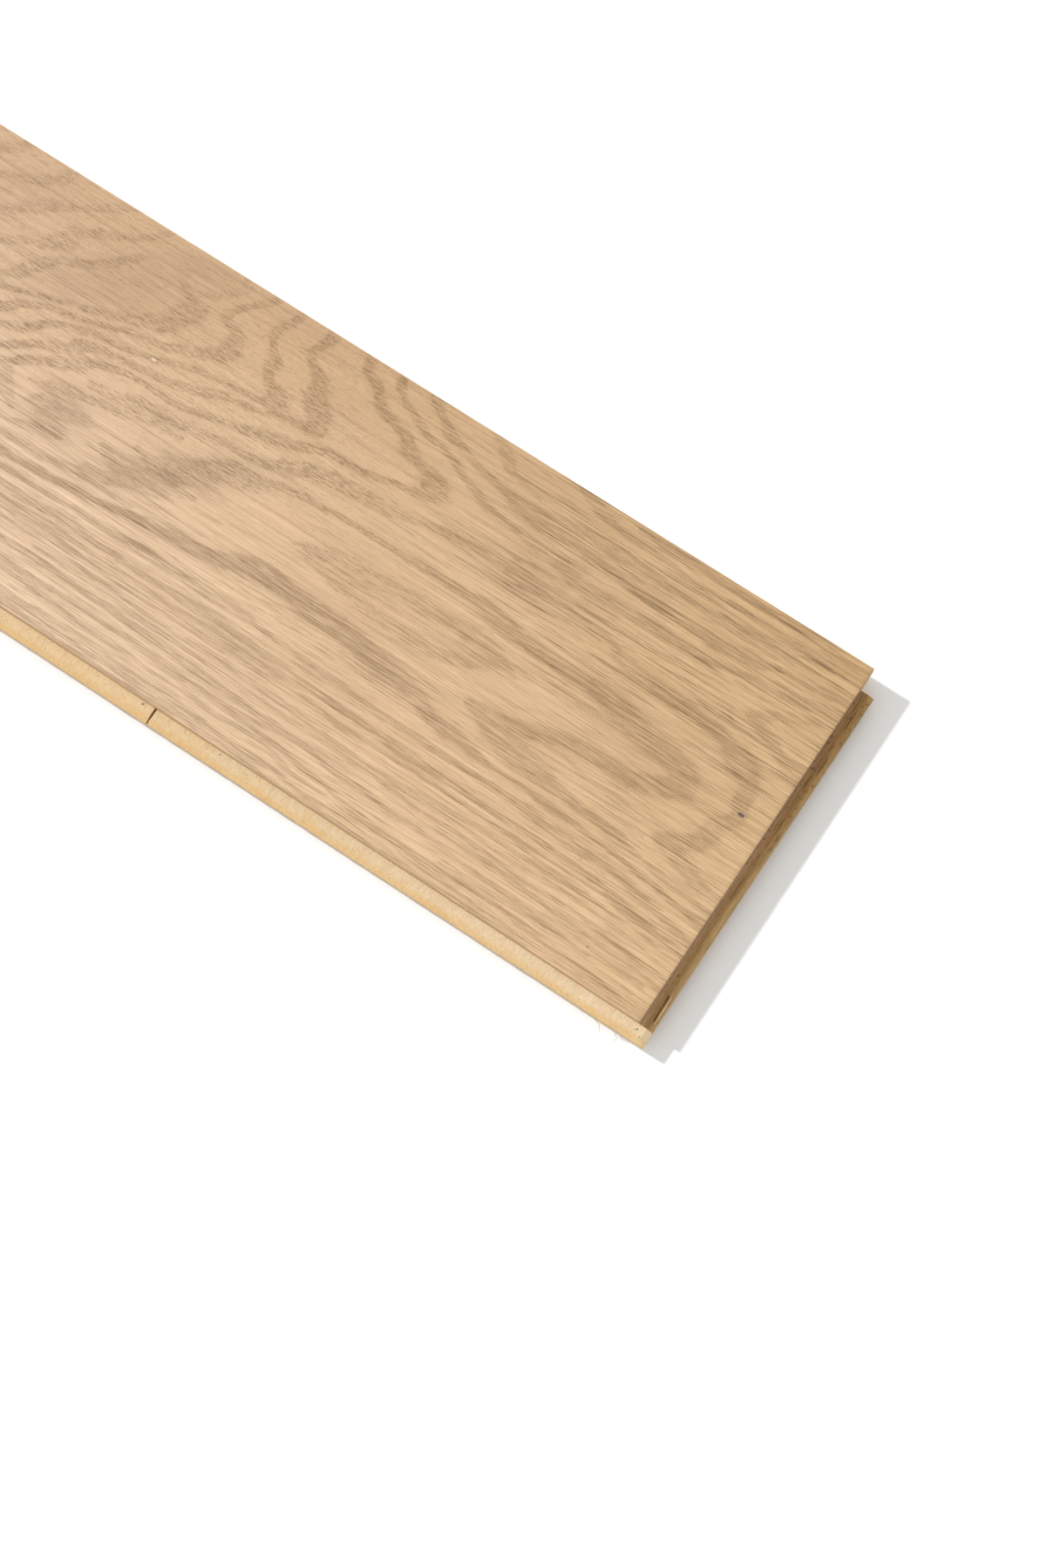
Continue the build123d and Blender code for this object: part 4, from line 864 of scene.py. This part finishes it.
# --------------------------------------------------------------------------
# The slats: the frame's own shape, cut finer, its noses frayed a little
# --------------------------------------------------------------------------
def slat_edges():
    """Where the gaps are, read from the frame's mesh: the x of every gap wall on the tongue's nose."""
    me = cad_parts["core_slats"].data
    co = np.zeros(len(me.vertices) * 3)
    me.vertices.foreach_get("co", co)
    co = co.reshape(-1, 3) * 1000
    xs = np.unique(np.round(co[co[:, 1] < CY0 + 0.02][:, 0], 2))
    xs = xs[(xs > X0 + 12) & (xs < X1 - 5)]
    mids = []
    i = 0
    while i < len(xs) - 1:
        if xs[i + 1] - xs[i] < 1.6:
            mids.append(((xs[i] + xs[i + 1]) / 2, xs[i + 1] - xs[i]))
            i += 2
        else:
            i += 1
    return mids


def make_core():
    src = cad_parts["core_slats"].data
    bm = bmesh.new()
    bm.from_mesh(src)
    bmesh.ops.remove_doubles(bm, verts=bm.verts, dist=2e-6)
    bmesh.ops.dissolve_limit(bm, angle_limit=math.radians(0.5), verts=bm.verts, edges=bm.edges)
    bmesh.ops.triangulate(bm, faces=[f for f in bm.faces if len(f.verts) > 60])
    gaps = slat_edges()
    print("gaps found", len(gaps))

    def cut(co, no):
        bmesh.ops.bisect_plane(bm, geom=bm.verts[:] + bm.edges[:] + bm.faces[:], dist=1e-6,
                               plane_co=Vector(co) / 1000.0, plane_no=Vector(no))
    for yy in (CY0 + 0.9, CY0 + 1.9, CY0 + 3.0, CY0 + 4.4, CY0 + 6.0, Y0 - 0.03):
        cut((0, yy, 0), (0, 1, 0))
    for xx in (CX1 - 0.9, CX1 - 1.9, CX1 - 4.4, CX1 - 5.6):
        cut((xx, 0, 0), (1, 0, 0))
    x = X1 - 2.0
    step = 3.0
    while x > X0 + 12:
        cut((x, 0, 0), (1, 0, 0))
        if x < X1 - 420:
            step = 9.0
        x -= step
    y = Y0 + 3.0
    while y < Y1 - 10:
        # only the end tongue needs rows across
        geom = [v for v in bm.verts if v.co.x * 1000 > X1 - 0.6]
        gs = set(geom)
        ed = [e for e in bm.edges if e.verts[0] in gs and e.verts[1] in gs]
        fa = [f for f in bm.faces if all(v in gs for v in f.verts)]
        bmesh.ops.bisect_plane(bm, geom=geom + ed + fa, dist=1e-6, plane_co=Vector((0, y, 0)) / 1000.0, plane_no=Vector((0, 1, 0)))
        y += 4.0
    bm.normal_update()
    me = bpy.data.meshes.new("core_slats_cut")
    bm.to_mesh(me)
    bm.free()
    n = len(me.vertices)
    co = np.zeros(n * 3)
    me.vertices.foreach_get("co", co)
    V = co.reshape(-1, 3) * 1000
    # fray: the noses give way inwards by a few hundredths to two tenths of a millimetre
    nose = np.clip((CY0 + 3.2 - V[:, 1]) / 3.0, 0, 1)
    nose_e = np.clip((V[:, 0] - (CX1 - 3.2)) / 3.0, 0, 1)
    r1 = 0.5 + 0.5 * waves(V[:, 0], V[:, 2], 71, 7.0) + 0.3 * waves(V[:, 0], V[:, 2], 72, 2.3)
    r2 = 0.5 + 0.5 * waves(V[:, 1], V[:, 2], 73, 7.0) + 0.3 * waves(V[:, 1], V[:, 2], 74, 2.3)
    V2 = V.copy()
    for gx, gw in gaps:
        if gw < 0.5:
            near = np.abs(V[:, 0] - gx) < gw / 2 + 0.02
            V2[near, 0] -= np.sign(V[near, 0] - gx) * (gw / 2 - 0.02)
        else:
            # the open joint gapes most under the oak, and its mouth is ragged
            near = (np.abs(V[:, 0] - gx) < gw / 2 + 0.02) & (V[:, 1] < Y0 + 0.2) & (V[:, 2] > CZ0 + 0.1)
            f = (V[near, 1] - CY0) / (Y0 - CY0)
            V2[near, 0] += np.sign(V[near, 0] - gx) * (-0.06 + 0.26 * f + 0.16 * waves(V[near, 1] + 40.0 * np.sign(V[near, 0] - gx), V[near, 2] * 0.3, 81, 2.6))
    V2[:, 1] += np.clip(r1, 0, 1.4) * 0.30 * (V[:, 1] < CY0 + 1.2)
    V2[:, 0] -= np.clip(r2, 0, 1.4) * 0.14 * (V[:, 0] > CX1 - 1.2)
    me.vertices.foreach_set("co", (V2 / 1000.0).ravel())

    # which slat a face belongs to, by its middle; the attributes ride on faces
    mids = np.array(sorted([g[0] for g in gaps]))
    cen = np.zeros(len(me.polygons) * 3)
    me.polygons.foreach_get("center", cen)
    cen = cen.reshape(-1, 3) * 1000
    k = np.searchsorted(mids, cen[:, 0])
    ns = len(mids) + 1
    r = np.random.RandomState(5)
    s1, s2 = r.uniform(0, 1, ns + 1), r.uniform(0, 1, ns + 1)
    # warmer towards the hidden end, paler towards the tongued end
    warm = np.clip(0.55 + 0.3 * (r.uniform(0, 1, ns + 1) - 0.5) - 0.55 * np.clip((np.arange(ns + 1) - (ns - 12)) / 12.0, 0, 1), 0, 1)
    dark = np.zeros(ns + 1)
    dark[ns - 1] = 1.0
    nz = np.clip((CY0 + 3.0 - cen[:, 1]) / 0.3, 0, 1)
    ne = np.clip((cen[:, 0] - (CX1 - 3.0)) / 0.3, 0, 1) * 0
    on_end = (cen[:, 0] > X1 - 0.1)
    for name, val in (("slat", s1[k]), ("slat2", s2[k]), ("warm", warm[k]), ("dark", dark[k] * on_end * (cen[:, 1] > Y0 - 0.1)), ("nose", np.maximum(nz, ne))):
        a = me.attributes.new(name, "FLOAT", "FACE")
        a.data.foreach_set("value", np.ascontiguousarray(val, dtype=np.float32))
    ob = bpy.data.objects.new("core_slats_cut", me)
    sc.collection.objects.link(ob)
    print("core faces", len(me.polygons))
    return ob


oak = make_wear()
oak.data.materials.append(oak_material())
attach(oak, "root")
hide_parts("wear_layer")

core = make_core()
core.data.materials.append(core_material())
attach(core, "root")
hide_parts("core_slats")

# --------------------------------------------------------------------------
# A torn fibre hanging from the tongue's nose, and a lifted splinter on the end
# --------------------------------------------------------------------------
def make_strand(name, pts, sides=5):
    """A thin closed tube along points (x, y, z, half width, half height), in millimetres."""
    P = np.array(pts, float)
    n = len(P)
    rings = []
    for i in range(n):
        t = P[min(i + 1, n - 1), :3] - P[max(i - 1, 0), :3]
        t /= np.linalg.norm(t)
        u = np.cross(t, (0, 0, 1.0))
        if np.linalg.norm(u) < 0.2:
            u = np.cross(t, (1.0, 0, 0))
        u /= np.linalg.norm(u)
        w = np.cross(u, t)
        for k in range(sides):
            an = 2 * math.pi * k / sides
            rings.append(P[i, :3] + u * math.cos(an) * P[i, 3] + w * math.sin(an) * P[i, 4])
    faces = [[k for k in range(sides)][::-1], [(n - 1) * sides + k for k in range(sides)]]
    for i in range(n - 1):
        for k in range(sides):
            k2 = (k + 1) % sides
            faces.append([i * sides + k, i * sides + k2, (i + 1) * sides + k2, (i + 1) * sides + k])
    me = bpy.data.meshes.new(name)
    me.from_pydata((np.array(rings) / 1000.0).tolist(), [], faces)
    me.update()
    bm = bmesh.new()
    bm.from_mesh(me)
    bmesh.ops.recalc_face_normals(bm, faces=bm.faces)
    bm.to_mesh(me)
    bm.free()
    for p_ in me.polygons:
        p_.use_smooth = True
    ob = bpy.data.objects.new(name, me)
    sc.collection.objects.link(ob)
    return ob


def splinter_material(name, light, dark):
    m = Nodes(name)
    f = m.noise((3.0, 0.5, 2.0), 3.0, 0.6)
    c = m.mix(m.step(f, 0.35, 0.68), rgb(*light), rgb(*dark))
    m.link(c, m.bsdf.inputs["Base Color"])
    m.bsdf.inputs["Roughness"].default_value = 0.75
    m.bsdf.inputs["Specular IOR Level"].default_value = 0.25
    m.bump(f, 0.08, 0.8)
    return m.mat


FX, FY = X1, YM
fibre = make_strand("torn_fibre", [
    (FX - 19.5, FY - 102.2, 7.9, 0.10, 0.10), (FX - 18.2, FY - 103.0, 7.8, 0.15, 0.13), (FX - 16.9, FY - 103.7, 7.4, 0.15, 0.13),
    (FX - 15.4, FY - 104.0, 6.9, 0.14, 0.12), (FX - 14.3, FY - 104.4, 6.4, 0.12, 0.10), (FX - 13.6, FY - 105.3, 5.8, 0.10, 0.08),
    (FX - 13.0, FY - 106.6, 5.0, 0.08, 0.06), (FX - 12.5, FY - 108.0, 4.2, 0.04, 0.04)])
root = make_strand("fibre_root", [
    (FX - 16.2, FY - 102.0, 7.6, 0.14, 0.14), (FX - 14.9, FY - 103.0, 7.3, 0.22, 0.18), (FX - 13.4, FY - 103.3, 7.3, 0.20, 0.16),
    (FX - 11.6, FY - 103.2, 7.4, 0.16, 0.12), (FX - 9.8, FY - 102.6, 7.5, 0.08, 0.08)])
fmat = splinter_material("torn_fibre", (226, 199, 150), (196, 160, 108))
splinter = make_strand("end_splinter", [
    (FX + 4.9, FY - 76.2, 8.55, 0.10, 0.08), (FX + 5.2, FY - 78.6, 8.75, 0.42, 0.20), (FX + 5.3, FY - 81.5, 8.85, 0.62, 0.26),
    (FX + 5.2, FY - 84.6, 8.8, 0.66, 0.26), (FX + 5.25, FY - 87.8, 8.7, 0.60, 0.22), (FX + 5.3, FY - 90.6, 8.55, 0.40, 0.16), (FX + 5.3, FY - 92.6, 8.4, 0.10, 0.08)])
smat = splinter_material("end_splinter", (232, 198, 142), (208, 168, 110))
for piece, mat_ in ((fibre, fmat), (root, fmat), (splinter, smat)):
    piece.data.materials.append(mat_)
    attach(piece, "root")

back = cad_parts["backing_veneer"]
bm_mat = backing_material()
if back.material_slots:
    for s in back.material_slots:
        s.material = bm_mat
else:
    back.data.materials.append(bm_mat)

# --------------------------------------------------------------------------
# Floor, light, camera
# --------------------------------------------------------------------------
def make_floor():
    me = bpy.data.meshes.new("floor")
    s = 9.0
    me.from_pydata([(-s, -s, 0), (s, -s, 0), (s, s, 0), (-s, s, 0)], [], [(0, 1, 2, 3)])
    ob = bpy.data.objects.new("floor", me)
    sc.collection.objects.link(ob)
    mat = bpy.data.materials.new("floor")
    mat.use_nodes = True
    b = mat.node_tree.nodes["Principled BSDF"]
    b.inputs["Base Color"].default_value = (0.95, 0.95, 0.95, 1)
    b.inputs["Roughness"].default_value = 0.9
    b.inputs["Specular IOR Level"].default_value = 0.1
    me.materials.append(mat)
    return ob


floor = make_floor()
world = bpy.data.worlds.new("studio")
sc.world = world
world.use_nodes = True
bg = world.node_tree.nodes["Background"]
bg.inputs["Color"].default_value = (1.0, 0.995, 0.97, 1)
bg.inputs["Strength"].default_value = 0.745

sun = bpy.data.lights.new("key", "SUN")
sun.energy = 2.72
sun.angle = math.radians(3.0)
sun.color = (0.94, 0.955, 1.0)
so = bpy.data.objects.new("key", sun)
sc.collection.objects.link(so)
so.rotation_mode = "QUATERNION"
so.rotation_quaternion = Vector((0.817, 0.03, -0.576)).to_track_quat("-Z", "Y")

CAM_AZ, CAM_EL, CAM_DIST = 33.626, 74.979, 1.31998
target = Vector(((X1 - 100.024) / 1000, (YM - 34.922) / 1000, ZT / 1000))
a, e = math.radians(CAM_AZ), math.radians(CAM_EL)
backv = Vector((math.sin(a) * math.cos(e), -math.cos(a) * math.cos(e), math.sin(e)))
right = Vector((0, 0, 1)).cross(backv).normalized()
up = backv.cross(right)
cam = bpy.data.cameras.new("camera")
cam.sensor_fit = "AUTO"
cam.sensor_width = 36.0
cam.lens = 36.0 * 3463.29 / 1799.0
cam.clip_start, cam.clip_end = 0.05, 60.0
co = bpy.data.objects.new("camera", cam)
sc.collection.objects.link(co)
M = Matrix((right, up, backv)).transposed().to_4x4()
M.translation = target + backv * CAM_DIST
co.matrix_world = M
sc.camera = co
